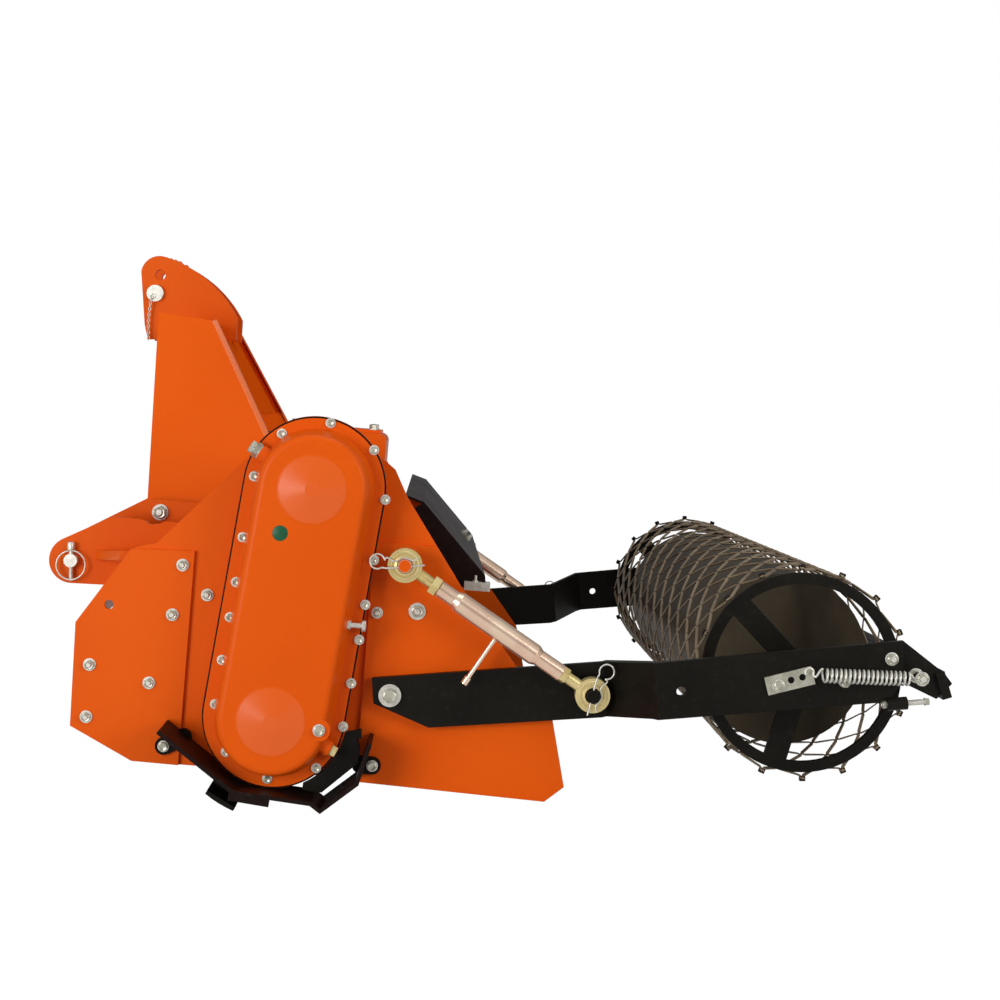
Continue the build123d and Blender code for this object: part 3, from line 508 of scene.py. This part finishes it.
def prism(bm, m, points, height):
    """A flat plate: its outline in m's x and y, in metres, and its height along z."""
    low = [bm.verts.new(m @ Vector((u, v, 0))) for u, v in points]
    high = [bm.verts.new(m @ Vector((u, v, height))) for u, v in points]
    bm.faces.new(high)
    bm.faces.new(low[::-1])
    for i in range(len(points)):
        j = (i + 1) % len(points)
        bm.faces.new((low[i], low[j], high[j], high[i]))


# Chain cover: flange bolts, plugs and breather
FLANGE_BOLTS = [
    (-21, 431), (52, 453), (121, 417), (144, 343), (134, 250), (126, 181), (121, 127),
    (114, 60), (107, -7), (71, -73), (-2, -95), (-68, -59), (-90, 12), (-85, 80), (-78, 146),
    (-73, 200), (-68, 269), (-58, 363),
]
bm = bmesh.new()
for i, (x, z) in enumerate(FLANGE_BOLTS):
    spot = at(x, -COVER_FLANGE_Y, z)
    bolt(bm, spot, OUT_LEFT, across=9.5, height=4.2, washer=15.7, phase=i * 0.7)
bolt(bm, at(73, -COVER_Y, -7), OUT_LEFT, across=14, height=5, washer=19, washer_t=2, phase=0.5)
new_piece("cover_bolts", bm, ZINC, "main_frame", "zinc")
bm = bmesh.new()
drain = along_work(101, -45)
boss = [(0, 0), (0.0125, 0), (0.0125, 0.022), (0.011, 0.0235), (0, 0.0235)]
lathe(bm, frame_on(at(70, -CASE_Y, -31.2), drain), boss)
filler = along_work(-93, 53)
boss = [(0, 0), (0.013, 0), (0.013, 0.020), (0.0115, 0.0215), (0, 0.0215)]
lathe(bm, frame_on(at(-32, -CASE_Y, 390.2), filler), boss)
new_piece("plug_bosses", bm, ORANGE, "main_frame", "orange")
bm = bmesh.new()
bolt(bm, at(91.5, -CASE_Y, -40.8), drain, across=15, height=8, washer=19, washer_t=1.5)
new_piece("plugs", bm, YELLOW, "main_frame", "yellow_zinc")
bm = bmesh.new()
nut, cap = at(-50.6, -CASE_Y, 400.8), at(-58.8, -CASE_Y, 405.5)
bolt(bm, nut, filler, across=21, height=8, washer=22, washer_t=1.4, phase=0.1)
bolt(bm, cap, filler, across=18, height=7, washer=18, washer_t=1.0, phase=0.7)
tee = [
    (0, 0), (0.0075, 0), (0.0075, 0.005), (0.0042, 0.006), (0.0042, 0.022), (0.0085, 0.022),
    (0.0085, 0.028), (0, 0.029),
]
lathe(bm, frame_on(at(102, -616, 150), along_work(1, 0)), tee, sides=18)
new_piece("breather", bm, ZINC, "main_frame", "zinc")

# Thin black line swept round between the case and its cover
upper = Vector((DRIVE_X, DRIVE_Z))
rise = upper.normalized()
across = Vector((rise.y, -rise.x))
half_turn = [math.pi * k / 32 for k in range(33)]
arc = [(across * math.cos(a) + rise * math.sin(a)) * DARK_LINE_R for a in half_turn]
line = [at(p.x, -DARK_LINE_Y, p.y) for p in [upper + p for p in arc] + [-p for p in arc]]
sweep("cover_dark_line", line, 0.0013, BLACK, "main_frame", closed=True, smooth=False, resolution=1)

# Panel, plate and strap bolts
bm = bmesh.new()
SIDE_BOLTS = [
    (-162, 215, PANEL_Y, 13, 20), (-172, 137, PANEL_Y, 13, 20), (-294, 50, PANEL_Y, 13, 20),
    (-293, -31, PANEL_Y, 13, 20), (-200, 29, PANEL_Y, 13, 20), (-121, 171, PLATE_Y, 13, 20),
    (144, 165, PANEL_Y, 12, 18.6), (206, 172, PANEL_Y, 17, 27),
]
for i, (x, z, y, across, washer) in enumerate(SIDE_BOLTS):
    size = {"across": across, "height": 5.5, "washer": washer, "washer_t": 1.8, "stud": 2.5}
    bolt(bm, at(x, -y, z), OUT_LEFT, phase=0.4 + i * 0.9, **size)
    bolt(bm, at(x, y, z), OUT_RIGHT, phase=i * 0.9, **size)
for i, (x, z) in enumerate([(-169, -66), (155, -71)]):
    bolt(bm, at(x, -STRAP_Y, z), OUT_LEFT, washer=18, washer_t=1.8, phase=0.2 + i)
for side, tag, out in SIDES:
    spot = at(-237, side * LUG_BOLT_Y, 278)
    bolt(bm, spot, out, across=19, height=9, washer=28, washer_t=2.6, phase=0.9, stud=3)
for k in range(4):
    a = math.radians(45 + 90 * k)
    x, z = turned(a, 65)
    bolt(bm, at(x, BEARING_Y, z), OUT_RIGHT, across=17, height=8, washer=24, phase=k)
    x, z = turned(a, 45, DRIVE_X, DRIVE_Z)
    bolt(bm, at(x, TUBE_FLANGE_Y, z), OUT_RIGHT, across=10, height=5, washer=14, phase=k)
for i in range(6):
    x, z = turned(math.radians(30 + 60 * i), 53, DRIVE_X, DRIVE_Z)
    for side, tag, out in SIDES:
        bolt(bm, at(x, side * GEARBOX_FLANGE_Y, z), out, across=8, height=4, washer=10, phase=i)
for x, y in ((-45, -62), (-45, 62), (25, -66), (25, 66), (98, -62), (98, 62), (98, 0)):
    bolt(bm, at(x, y, GEARBOX_TOP_Z), along_work(0, 1), height=8, washer=18, phase=x * 0.1)
for x in (-150, -125, 95, 112):
    for y in (-110, 110):
        spot = at(x, y, BED_Z)
        bolt(bm, spot, along_work(0, 1), across=17, height=8, washer=24, phase=x * 0.3)
new_piece("plate_bolts", bm, ZINC, "main_frame", "zinc")

# Gearbox lid, bearing cap of the rotor and the small foot under the strap
bm = bmesh.new()
lid = frame_on(at(25, 0, 434), along_work(0, 1), along_work(1, 0))
prism(bm, lid, [(-0.088, -0.080), (0.088, -0.080), (0.088, 0.080), (-0.088, 0.080)], 0.006)
new_piece("gearbox_lid", bm, ORANGE, "main_frame", "orange")
bm = bmesh.new()
cap = [(0, 0), (0.040, 0), (0.040, 0.005), (0.036, 0.009), (0, 0.010)]
lathe(bm, frame_on(at(0, 597, 0), OUT_RIGHT), cap, sides=40)
new_piece("bearing_cap", bm, CAST, "main_frame", "cast")
bm = bmesh.new()
foot = frame_on(at(-24, -FOOT_Y, -119), OUT_RIGHT, along_work(1, -0.09))
prism(bm, foot, [(-0.031, -0.005), (0.031, -0.005), (0.031, 0.006), (-0.031, 0.006)], 0.008)
new_piece("strap_foot", bm, REDBLACK, "main_frame", "dark_paint")
bm = bmesh.new()
web = [turned(math.radians(a), 111.8) for a in range(-62, -7, 6)]
web += [
    (135.5, -9), (136, -24), (129, -25), (135.5, -37), (134, -62), (82, -111), (66, -111),
    (52, -109),
]
flat = frame_on(at(0, -WEB_Y, 0), OUT_RIGHT, along_work(1, 0))
prism(bm, flat, [(x * MM, -z * MM) for x, z in web], 0.004)
new_piece("strap_web", bm, BLACK, "main_frame", "black_paint")


def mast_y(z):
    """The distance from the middle to the outside of the mast's side plate."""
    return 175 + 0.4167 * (621 - z)


# Folded rear edges of the mast and the weld beads on its ears, in a lighter, glossier orange that
# is a painted highlight along the folds and beads
FOLD_ENDS = ((-197, 613), (-6, 294))
FOLD = ((-6, 0), (0, 0), (6.5, 7), (6.5, 15), (3.5, 15), (3.5, 8.5), (-1, 3), (-6, 3))
BEAD = [(0, 0), (0.0055, 0.001), (0.0050, 0.0055), (0.0028, 0.0075), (0, 0.0082)]
away = Vector((0.857, 0.515))
bm = bmesh.new()
for side in (-1, 1):
    rings = []
    for x, z in FOLD_ENDS:
        ring = []
        for across, depth in FOLD:
            y = side * (mast_y(z) - depth + 0.4)
            ring.append(bm.verts.new(at(x + away.x * across, y, z + away.y * across)))
        rings.append(ring)
    n = len(FOLD)
    for k in range(n):
        j = (k + 1) % n
        bm.faces.new((rings[0][k], rings[0][j], rings[1][j], rings[1][k]))
    bm.faces.new(rings[0])
    bm.faces.new(rings[1][::-1])
for side in (-1, 1):
    for k in range(5):
        a = k / 4
        spot = at(-320 + 34 * a, side * 40, 728.5 - 3.5 * a - 3 * a * a)
        root = spot - along_work(0, 1) * 0.0052
        lathe(bm, frame_on(root, along_work(0.15, 1)), BEAD, sides=12)
new_piece("mast_folds", bm, EDGE_PAINTED_HIGHLIGHT, "main_frame", "orange", smooth=25)

# Green inspection dot on the cover
bm = bmesh.new()
dot = [(0, 0), (0.0118, 0), (0.0118, 0.0002), (0.0115, 0.0004), (0, 0.0004)]
lathe(bm, frame_on(at(-8, -COVER_Y, 283), OUT_LEFT), dot, sides=48)
new_piece("inspection_dot", bm, GREEN, "main_frame")

# Lower link pins: linch pins with their rings
UP = along_work(-0.0785, 0.9969)
LINCH = [
    (0, 0), (0.0030, 0.001), (0.0038, 0.004), (0.0038, 0.052), (0.0064, 0.052), (0.0064, 0.061),
    (0.005, 0.064), (0, 0.065),
]
for side, tag, out in SIDES:
    centre = at(-366, side * LUG_PIN_Y, 193)
    bm = bmesh.new()
    lathe(bm, frame_on(centre - UP * 0.034, UP), LINCH, sides=16)
    shank = new_piece(f"linch_{tag}", bm, ZINC, "main_frame", "zinc")
    cross = UP.cross(OUT_RIGHT).normalized()
    hub = centre - UP * 0.0075 + out * 0.003
    ring = []
    for k in range(40):
        u, v = turned(2 * math.pi * k / 40, 0.0238)
        ring.append(hub + cross * u + UP * v)
    loop = sweep(
        f"linch_ring_{tag}", ring, 0.0013, ZINC, "main_frame", "zinc", closed=True, resolution=2,
    )
    joined(f"linch_pin_{tag}", [shank, loop])

# Top pin: dimple and chain
bm = bmesh.new()
dimple = [(0.0052, 0), (0.0052, 0.0008), (0.0040, 0.0012), (0.0036, 0.0004), (0, 0.0004)]
lathe(bm, frame_on(at(-328, -54, 655), OUT_LEFT), dimple, sides=20)
new_piece("pin_eye", bm, ZINC, "main_frame", "zinc")
LINKS, LINK_STEPS, WIRE_STEPS = 15, 12, 6
LINK_HALF_W, LINK_HALF_L, WIRE_R = 0.0022, 0.0036, 0.00075
bm = bmesh.new()
for i in range(LINKS):
    f = i / (LINKS - 1)
    point = at(-330.4 - 2.2 * math.sin(3.1 * f), -57 + 3 * f, 653 - 76 * f)
    m = frame_on(point, along_work(0.03, -1), OUT_LEFT if i % 2 else along_work(1, 0))
    rings = []
    for k in range(LINK_STEPS):
        a = 2 * math.pi * k / LINK_STEPS
        centre = Vector((LINK_HALF_W * math.cos(a), 0, LINK_HALF_L * math.sin(a)))
        outward = Vector((math.cos(a), 0, math.sin(a)))
        ring = []
        for n in range(WIRE_STEPS):
            u, v = turned(2 * math.pi * n / WIRE_STEPS, WIRE_R)
            ring.append(bm.verts.new(m @ (centre + outward * u + Vector((0, v, 0)))))
        rings.append(ring)
    for k in range(LINK_STEPS):
        here, ahead = rings[k], rings[(k + 1) % LINK_STEPS]
        for n in range(WIRE_STEPS):
            j = (n + 1) % WIRE_STEPS
            bm.faces.new((here[n], ahead[n], ahead[j], here[j]))
new_piece("pin_chain", bm, ZINC, "main_frame", "zinc")

# Turnbuckles: ball eyes, nuts, collars, threads, pins and their clips
LINK_DIR = along_work(LOW_X - UP_X, LOW_Z - UP_Z)
COLLAR = [
    (0.0124, 0.2902), (0.0128, 0.2912), (0.0128, 0.2990), (0.0124, 0.3000), (0.0111, 0.3000),
    (0.0111, 0.2902), (0.0124, 0.2902),
]
PIN_TIP = [(0.0101, 0), (0.0101, 0.0108), (0.0092, 0.0118), (0, 0.0118)]
THREAD_LEAD = 0.0019


def threads(bm, m, start, count, root, crest):
    """Ridges on a rod along m's z from start."""
    for k in range(count):
        t = start + k * THREAD_LEAD
        lathe(bm, m, [(root, t), (crest, t + 0.0009), (root, t + 0.0018)], sides=18)


def clip_line(centre, ahead, up):
    """A spring clip: a straight leg through the pin, a ring and a waved leg over the pin."""
    leg = [(30, 1), (0, -1.5), (-30, -4)]
    ring = [turned(math.radians(-50 - 22 * k), 11.5, -42, 7) for k in range(15)]
    waved = [(-29, 15), (-17, 5.5), (-9, 9), (-3, 12.8), (4, 11), (14, 6.5), (20, 12)]
    return [centre + ahead * (u * MM) + up * (v * MM) for u, v in leg + ring + waved]


for side, tag, out in SIDES:
    y = side * LINK_Y
    upper, lower = at(UP_X, y, UP_Z), at(LOW_X, y, LOW_Z)
    sleeve_body, rod_body = f"turnbuckle_{tag[0]}", f"link_rod_{tag[0]}"
    for centre, body, label in ((upper, sleeve_body, "upper"), (lower, rod_body, "lower")):
        bm = bmesh.new()
        m = frame_on(centre + out * 0.0098, out)
        lathe(bm, m, [(0.0225, 0), (0.0215, 0.0012), (0.0190, 0.0012), (0.0184, 0)], sides=40)
        lathe(bm, m, [(0.0172, 0), (0.0160, 0.0022), (0.0122, 0.0030), (0.0114, 0.0)], sides=36)
        new_piece(f"ball_eye_{label}_{tag}", bm, YELLOW, body, "yellow_zinc")
    bm = bmesh.new()
    m = frame_on(upper, LINK_DIR)
    hexagon(bm, m, 0.0274, 0.0128, base=0.0495, phase=0.5)
    threads(bm, m, 0.0255, 8, 0.0088, 0.0098)
    new_piece(f"link_nut_{tag}", bm, YELLOW, sleeve_body, "yellow_zinc")
    bm = bmesh.new()
    lathe(bm, m, COLLAR, sides=6, phase=0.2)
    new_piece(f"link_collar_{tag}", bm, YELLOW, sleeve_body, "yellow_zinc")
    bm = bmesh.new()
    threads(bm, m, 0.3000, 9, 0.0089, 0.00915)
    new_piece(f"link_thread_{tag}", bm, YELLOW, rod_body, "yellow_zinc")
    bm = bmesh.new()
    lathe(bm, frame_on(at(UP_X, side * PIN_TIP_Y, UP_Z), out), PIN_TIP, sides=32)
    new_piece(f"pin_paint_{tag}", bm, ORANGE, "main_frame", "orange")
    clip = clip_line(at(UP_X, side * CLIP_Y, UP_Z), along_work(0.9969, 0.0785), UP)
    sweep(f"clip_upper_{tag}", clip, 0.0013, ZINC, "main_frame", "zinc", resolution=3)
    down, beside = along_work(-0.26, -0.965), along_work(0.965, -0.26)
    clip = clip_line(at(LOW_X, side * CLIP_Y, LOW_Z), down, beside)
    sweep(f"clip_lower_{tag}", clip, 0.0013, ZINC, "roller_frame", "zinc", resolution=3)

# Arms: pivot bolts, bearing bolts, scraper pivots and stops
bm = bmesh.new()
bm_stop = bmesh.new()
bm_dark = bmesh.new()
bm_lever = bmesh.new()
ahead = (at(1, 0, 0, ARM) - at(0, 0, 0, ARM)).normalized()
barrel = [(0, 0), (0.0095, 0), (0.0095, 0.030), (0, 0.030)]
screw = [(0, 0), (0.0042, 0), (0.0042, 0.026), (0, 0.026)]
for side, tag, out in SIDES:
    pivot, bearing = at(0, side * ARM_PIVOT_Y, 0, ARM), at(674, side * ARM_OUT_Y, -8, ARM)
    anchor, lever_pin = at(576, side * ANCHOR_Y, -7, ARM), at(746, side * ARM_OUT_Y, 20, ARM)
    bolt(bm, pivot, out, across=19, height=9, washer=30, washer_t=1.2, phase=0.7)
    bolt(bm, bearing, out, across=15, height=7, washer=18, phase=0.25)
    bolt(bm, anchor, out, across=15, height=7, washer=19, phase=0.8)
    bolt(bm, lever_pin, out, across=15, washer=20, stud=4)
    inner = at(LEVER[0], side * LEVER_IN_Y, LEVER[1], ARM)
    outer = at(LEVER[0], side * LEVER_OUT_Y, LEVER[1], ARM)
    bolt(bm_lever, inner, out, across=15, height=7, washer=22, phase=0.1)
    bolt(bm_lever, outer, out, across=15, height=5, washer=21, washer_t=1.4, phase=0.6, stud=2.2)
    root, tip = at(733, side * STOP_Y, STOP_Z, ARM), at(763, side * STOP_Y, STOP_Z, ARM)
    lathe(bm_dark, frame_on(root, ahead), barrel, sides=24)
    lathe(bm_stop, frame_on(tip, ahead), screw, sides=16)
    bolt(bm_stop, tip + ahead * 0.026, ahead, across=10, washer=12, washer_t=0.6)
    bolt(bm_stop, root, -ahead, across=10, washer=10, washer_t=0.4, stud=2)
new_piece("arm_bolts", bm, ZINC, "roller_frame", "zinc")
new_piece("stop_bolts", bm_stop, ZINC, "roller_frame", "zinc")
new_piece("stop_barrels", bm_dark, BLACK, "roller_frame", "black_paint")
new_piece("lever_nuts", bm_lever, ZINC, "scraper_bar", "zinc")

# Bonnet studs and their small plates
bm = bmesh.new()
slope = along_work(0.717, 0.697)
for side, tag, out in SIDES:
    spot = at(296, side * 447, 207)
    bolt(bm, spot, along_work(0, 1), across=10, height=7, washer=20, washer_t=2, stud=8)
    tab = frame_on(at(298, side * 434, 203), out, along_work(1, 0))
    prism(bm, tab, [(-0.020, -0.003), (0.022, -0.003), (0.022, 0.011), (-0.020, 0.011)], 0.026)
for x, y in ((287, -8), (279, 12)):
    bolt(bm, at(x, y, 334 - (x - 202) * 1.028), slope, across=10, washer=18, stud=7)
new_piece("bonnet_studs", bm, ZINC, "main_frame", "zinc")

# Rotor: bolts through the blades and their flanges
FLANGES, FLANGE_STEP, FLANGE_TURN = 6, 180, 15
bm = bmesh.new()
for i in range(FLANGES):
    place = i - (FLANGES - 1) / 2
    for k in range(4):
        turn = math.radians(280.1 + place * FLANGE_TURN + k * 90)
        way = 1 if k % 2 else -1
        y = place * FLANGE_STEP + way * 13
        for r in (62, 80):
            x, z = turned(turn, r)
            front, back = at(x, y, z), at(x, y - way * 18, z)
            bolt(bm, front, OUT_RIGHT * way, across=17, height=8, washer=22, phase=turn)
            bolt(bm, back, OUT_LEFT * way, across=17, height=8, washer=22, phase=turn)
new_piece("blade_bolts", bm, ZINC, "rotor_body", "zinc")

# Input shaft: splines and the groove of its catch
bm = bmesh.new()
nose = frame_on(at(-121, 0, DRIVE_Z), along_work(-1, 0))
rib = [(0.0172, -0.0042), (0.0172, 0.0042), (0.0176, 0.0042), (0.0176, -0.0042)]
for k in range(6):
    m = nose @ Matrix.Rotation(math.pi / 3 * k, 4, "Z")
    for start, end in ((0.006, 0.058), (0.066, 0.090)):
        prism(bm, m @ Matrix.Translation((0, 0, start)), rib, end - start)
new_piece("splines", bm, STEEL, "input", "bare_steel")

# Roller: expanded mesh of tilted strands
bm = bmesh.new()
sleeve = Matrix.Translation(AXLE) @ Matrix.Rotation(LEAN - math.radians(4.5), 4, "Y")
ROWS, KNUCKLES = 24, 16
HALF_LENGTH, ROW = 0.6, 0.05
STEP = math.pi / KNUCKLES
MESH_R, EDGE_R = 0.1572, 0.1605
HALF_WIDE, HALF_THIN = 0.0025, 0.0010
TILT = math.radians(148)


def on_sleeve(y, a, r):
    """A point of the sleeve by its place along the axle, its angle and its radius."""
    return Vector((r * math.cos(a), y, -r * math.sin(a)))


def strand(ya, aa, yb, ab, ends):
    """One strand between two knuckles, tilted so that its edge stands outwards."""
    lean = 1 if ab > aa else -1
    path = [
        (ya, aa + lean * 0.010, ends[0]), (ya + 0.007, aa + lean * 0.018, MESH_R),
        (yb - 0.007, ab - lean * 0.018, MESH_R), (yb, ab - lean * 0.010, ends[1]),
    ]
    rings = []
    for y, a, r in path:
        radial = on_sleeve(0, a, 1)
        around = Vector((-math.sin(a), 0, -math.cos(a)))
        wide = (radial * math.sin(TILT) + around * math.cos(TILT)) * HALF_WIDE
        thin = (radial * math.cos(TILT) - around * math.sin(TILT)) * HALF_THIN
        centre = on_sleeve(y, a, r)
        corners = (-wide - thin, wide - thin, wide + thin, thin - wide)
        rings.append([bm.verts.new(sleeve @ (centre + corner)) for corner in corners])
    for low, high in zip(rings, rings[1:]):
        for k in range(4):
            bm.faces.new((low[k], low[(k + 1) % 4], high[(k + 1) % 4], high[k]))
    bm.faces.new(rings[0][::-1])
    bm.faces.new(rings[-1])


for row in range(ROWS):
    y = ROW * row - HALF_LENGTH
    ends = (EDGE_R if row == 0 else MESH_R, EDGE_R if row == ROWS - 1 else MESH_R)
    for k in range(KNUCKLES):
        a = (2 * k + row % 2) * STEP
        for way in (-1, 1):
            strand(y, a, y + ROW, a + way * STEP, ends)
net = new_piece("mesh_sleeve", bm, MESH, "roller", "mesh_steel", smooth=20)
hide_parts("roller_mesh")

# Square stubs on the end rings that the mesh hooks over
bm = bmesh.new()
stub = [(-0.0034, -0.0040), (0.0034, -0.0040), (0.0034, 0.0040), (-0.0034, 0.0040)]
for end in (-1, 1):
    for k in range(KNUCKLES):
        place = Matrix.Translation((0.1615, end * 0.5958, -0.0043))
        prism(bm, sleeve @ Matrix.Rotation(2 * k * STEP, 4, "Y") @ place, stub, 0.0086)
new_piece("mesh_stubs", bm, BLACK, "roller", "black_paint")

# Roller springs as wound wire: a hook, the coils and a ring around the lever's bolt
COILS, COIL_STEPS, COIL_R = 19, 12, 0.0098
COIL_START, COIL_END = 0.021, 0.012
for side, tag, out in SIDES:
    y = side * SPRING_Y
    node = f"spring_{tag}"
    start, end = at(618, y, 8, ARM), at(LEVER[0] - 6.3, y, LEVER[1], ARM)
    ahead = (end - start).normalized()
    above = ahead.cross(OUT_RIGHT)
    length = (end - start).length
    wound = length - COIL_START - COIL_END

    def wire(u, v, w):
        return start + ahead * u + above * v + out * w

    hook = [turned(math.radians(215 - 32 * k), 0.0064, 0.001, 0.0045) for k in range(9)]
    points = [wire(u, v, 0.0015) for u, v in hook]
    points += [wire(0.0105, -0.0035, 0.001), wire(0.0145, 0.0030, 0.0005), wire(0.0180, 0.0085, 0)]
    steps = COILS * COIL_STEPS
    for i in range(steps + 1):
        w, v = turned(math.pi / 2 + 2 * math.pi * i / COIL_STEPS, COIL_R)
        points.append(wire(COIL_START + wound * i / steps, v, w))
    points += [wire(length - 0.008, 0.004, 0), wire(length - 0.004, 0, 0)]
    hub = at(LEVER[0], y, LEVER[1], ARM)
    for k in range(11):
        u, v = turned(math.radians(180 - 30 * k), 0.0079)
        points.append(hub + ahead * u + above * v)
    coil = sweep(f"coil_{tag}", points, 0.00175, ZINC, "roller_frame", "zinc", resolution=2)
    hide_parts(node)


# Stage, light and camera


def seen_share(ns, ls, **kinds):
    """The largest of the shares that the kinds of ray have of the plain white."""
    path = ns.new("ShaderNodeLightPath")
    shares = []
    for kind, share in kinds.items():
        ray = path.outputs[f"Is {kind.title()} Ray"]
        shares.append(reckon(ns, ls, "MULTIPLY", ray, share))
    return largest(ns, ls, shares)


def stage_material(name):
    """Pale floor: it catches a soft contact shadow and is plain white farther out."""
    mat = bpy.data.materials.new(name)
    mat.use_nodes = True
    ns, ls, shader = wire_up(mat)
    shader.inputs["Base Color"].default_value = (0.5, 0.5, 0.5, 1)
    shader.inputs["Roughness"].default_value = 0.9
    shader.inputs["Specular IOR Level"].default_value = 0.0
    glow = ns.new("ShaderNodeEmission")
    glow.inputs["Color"].default_value = (1, 1, 1, 1)
    glow.inputs["Strength"].default_value = 1.13
    share = seen_share(ns, ls, camera=0.88, glossy=0.5, transmission=0.5)
    mix = ns.new("ShaderNodeMixShader")
    ls.new(share, mix.inputs["Fac"])
    ls.new(shader.outputs["BSDF"], mix.inputs[1])
    ls.new(glow.outputs["Emission"], mix.inputs[2])
    ls.new(mix.outputs["Shader"], ns["Material Output"].inputs["Surface"])
    return mat


bm = bmesh.new()
bmesh.ops.create_grid(bm, x_segments=1, y_segments=1, size=30)
mesh = bpy.data.meshes.new("floor")
bm.to_mesh(mesh)
bm.free()
floor = bpy.data.objects.new("floor", mesh)
floor.data.materials.append(stage_material("floor_white"))
floor.location = (0, 0, -0.0006)
bpy.context.scene.collection.objects.link(floor)

# The surroundings look white, and they light the part from the sides more than from the front
# or from behind.
world = bpy.data.worlds.new("studio")
bpy.context.scene.world = world
world.use_nodes = True
wn, wl = world.node_tree.nodes, world.node_tree.links
back = wn["Background"]
back.inputs["Color"].default_value = (1, 1, 1, 1)
where = wn.new("ShaderNodeTexCoord")
parts = wn.new("ShaderNodeSeparateXYZ")
wl.new(where.outputs["Generated"], parts.inputs["Vector"])
depth = parts.outputs["Y"]
near_band = remap(wn, wl, depth, from_min=-0.975, from_max=-0.80, to_min=0.16, to_max=0.5)
far_band = remap(wn, wl, depth, from_min=-0.05, from_max=0.45, to_min=1.0, to_max=0.3)
for band in (near_band, far_band):
    band.node.interpolation_type = "SMOOTHSTEP"
wl.new(reckon(wn, wl, "MULTIPLY", near_band, far_band), back.inputs["Strength"])
shown = wn.new("ShaderNodeBackground")
shown.inputs["Color"].default_value = (1, 1, 1, 1)
shown.inputs["Strength"].default_value = 1.0
pick = wn.new("ShaderNodeMixShader")
white = seen_share(wn, wl, camera=1.0, glossy=0.15, transmission=1.0)
wl.new(white, pick.inputs["Fac"])
wl.new(back.outputs["Background"], pick.inputs[1])
wl.new(shown.outputs["Background"], pick.inputs[2])
wl.new(pick.outputs["Shader"], wn["World Output"].inputs["Surface"])


def lamp(name, place, target, size, power):
    """A rectangular area lamp that faces its target."""
    data = bpy.data.lights.new(name, "AREA")
    data.shape = "RECTANGLE"
    data.size, data.size_y = size
    data.energy = power
    obj = bpy.data.objects.new(name, data)
    obj.location = place
    facing = Vector(target) - Vector(place)
    obj.rotation_euler = facing.to_track_quat("-Z", "Y").to_euler()
    bpy.context.scene.collection.objects.link(obj)


lamp("key", (-2.8, -4.0, 1.2), (0, 0, 0.35), (2.0, 2.0), 108)
lamp("fill", (3.2, -3.2, 1.1), (0, 0, 0.3), (1.8, 2.0), 60)
lamp("top", (0.8, -0.6, 3.4), (0, 0, 0.3), (2.8, 1.4), 20)

# The viewing direction: square-on from the left, floor rising slightly to the right.
ROLL = math.radians(5.6)
right = Vector((math.cos(ROLL), 0, -math.sin(ROLL)))
upward = Vector((math.sin(ROLL), 0, math.cos(ROLL)))
view = Matrix((right, upward, Vector((0, -1, 0)))).transposed().to_4x4()
view.translation = at(206, -3150, 483.5)
camera = bpy.data.objects.new("camera", bpy.data.cameras.new("camera"))
camera.data.sensor_width = 36
camera.data.lens = 60.12
camera.data.shift_x = 0.067
camera.data.shift_y = -0.089
camera.data.clip_end = 100
camera.matrix_world = view
bpy.context.scene.collection.objects.link(camera)
bpy.context.scene.camera = camera

scene = bpy.context.scene
scene.view_settings.view_transform = "Standard"
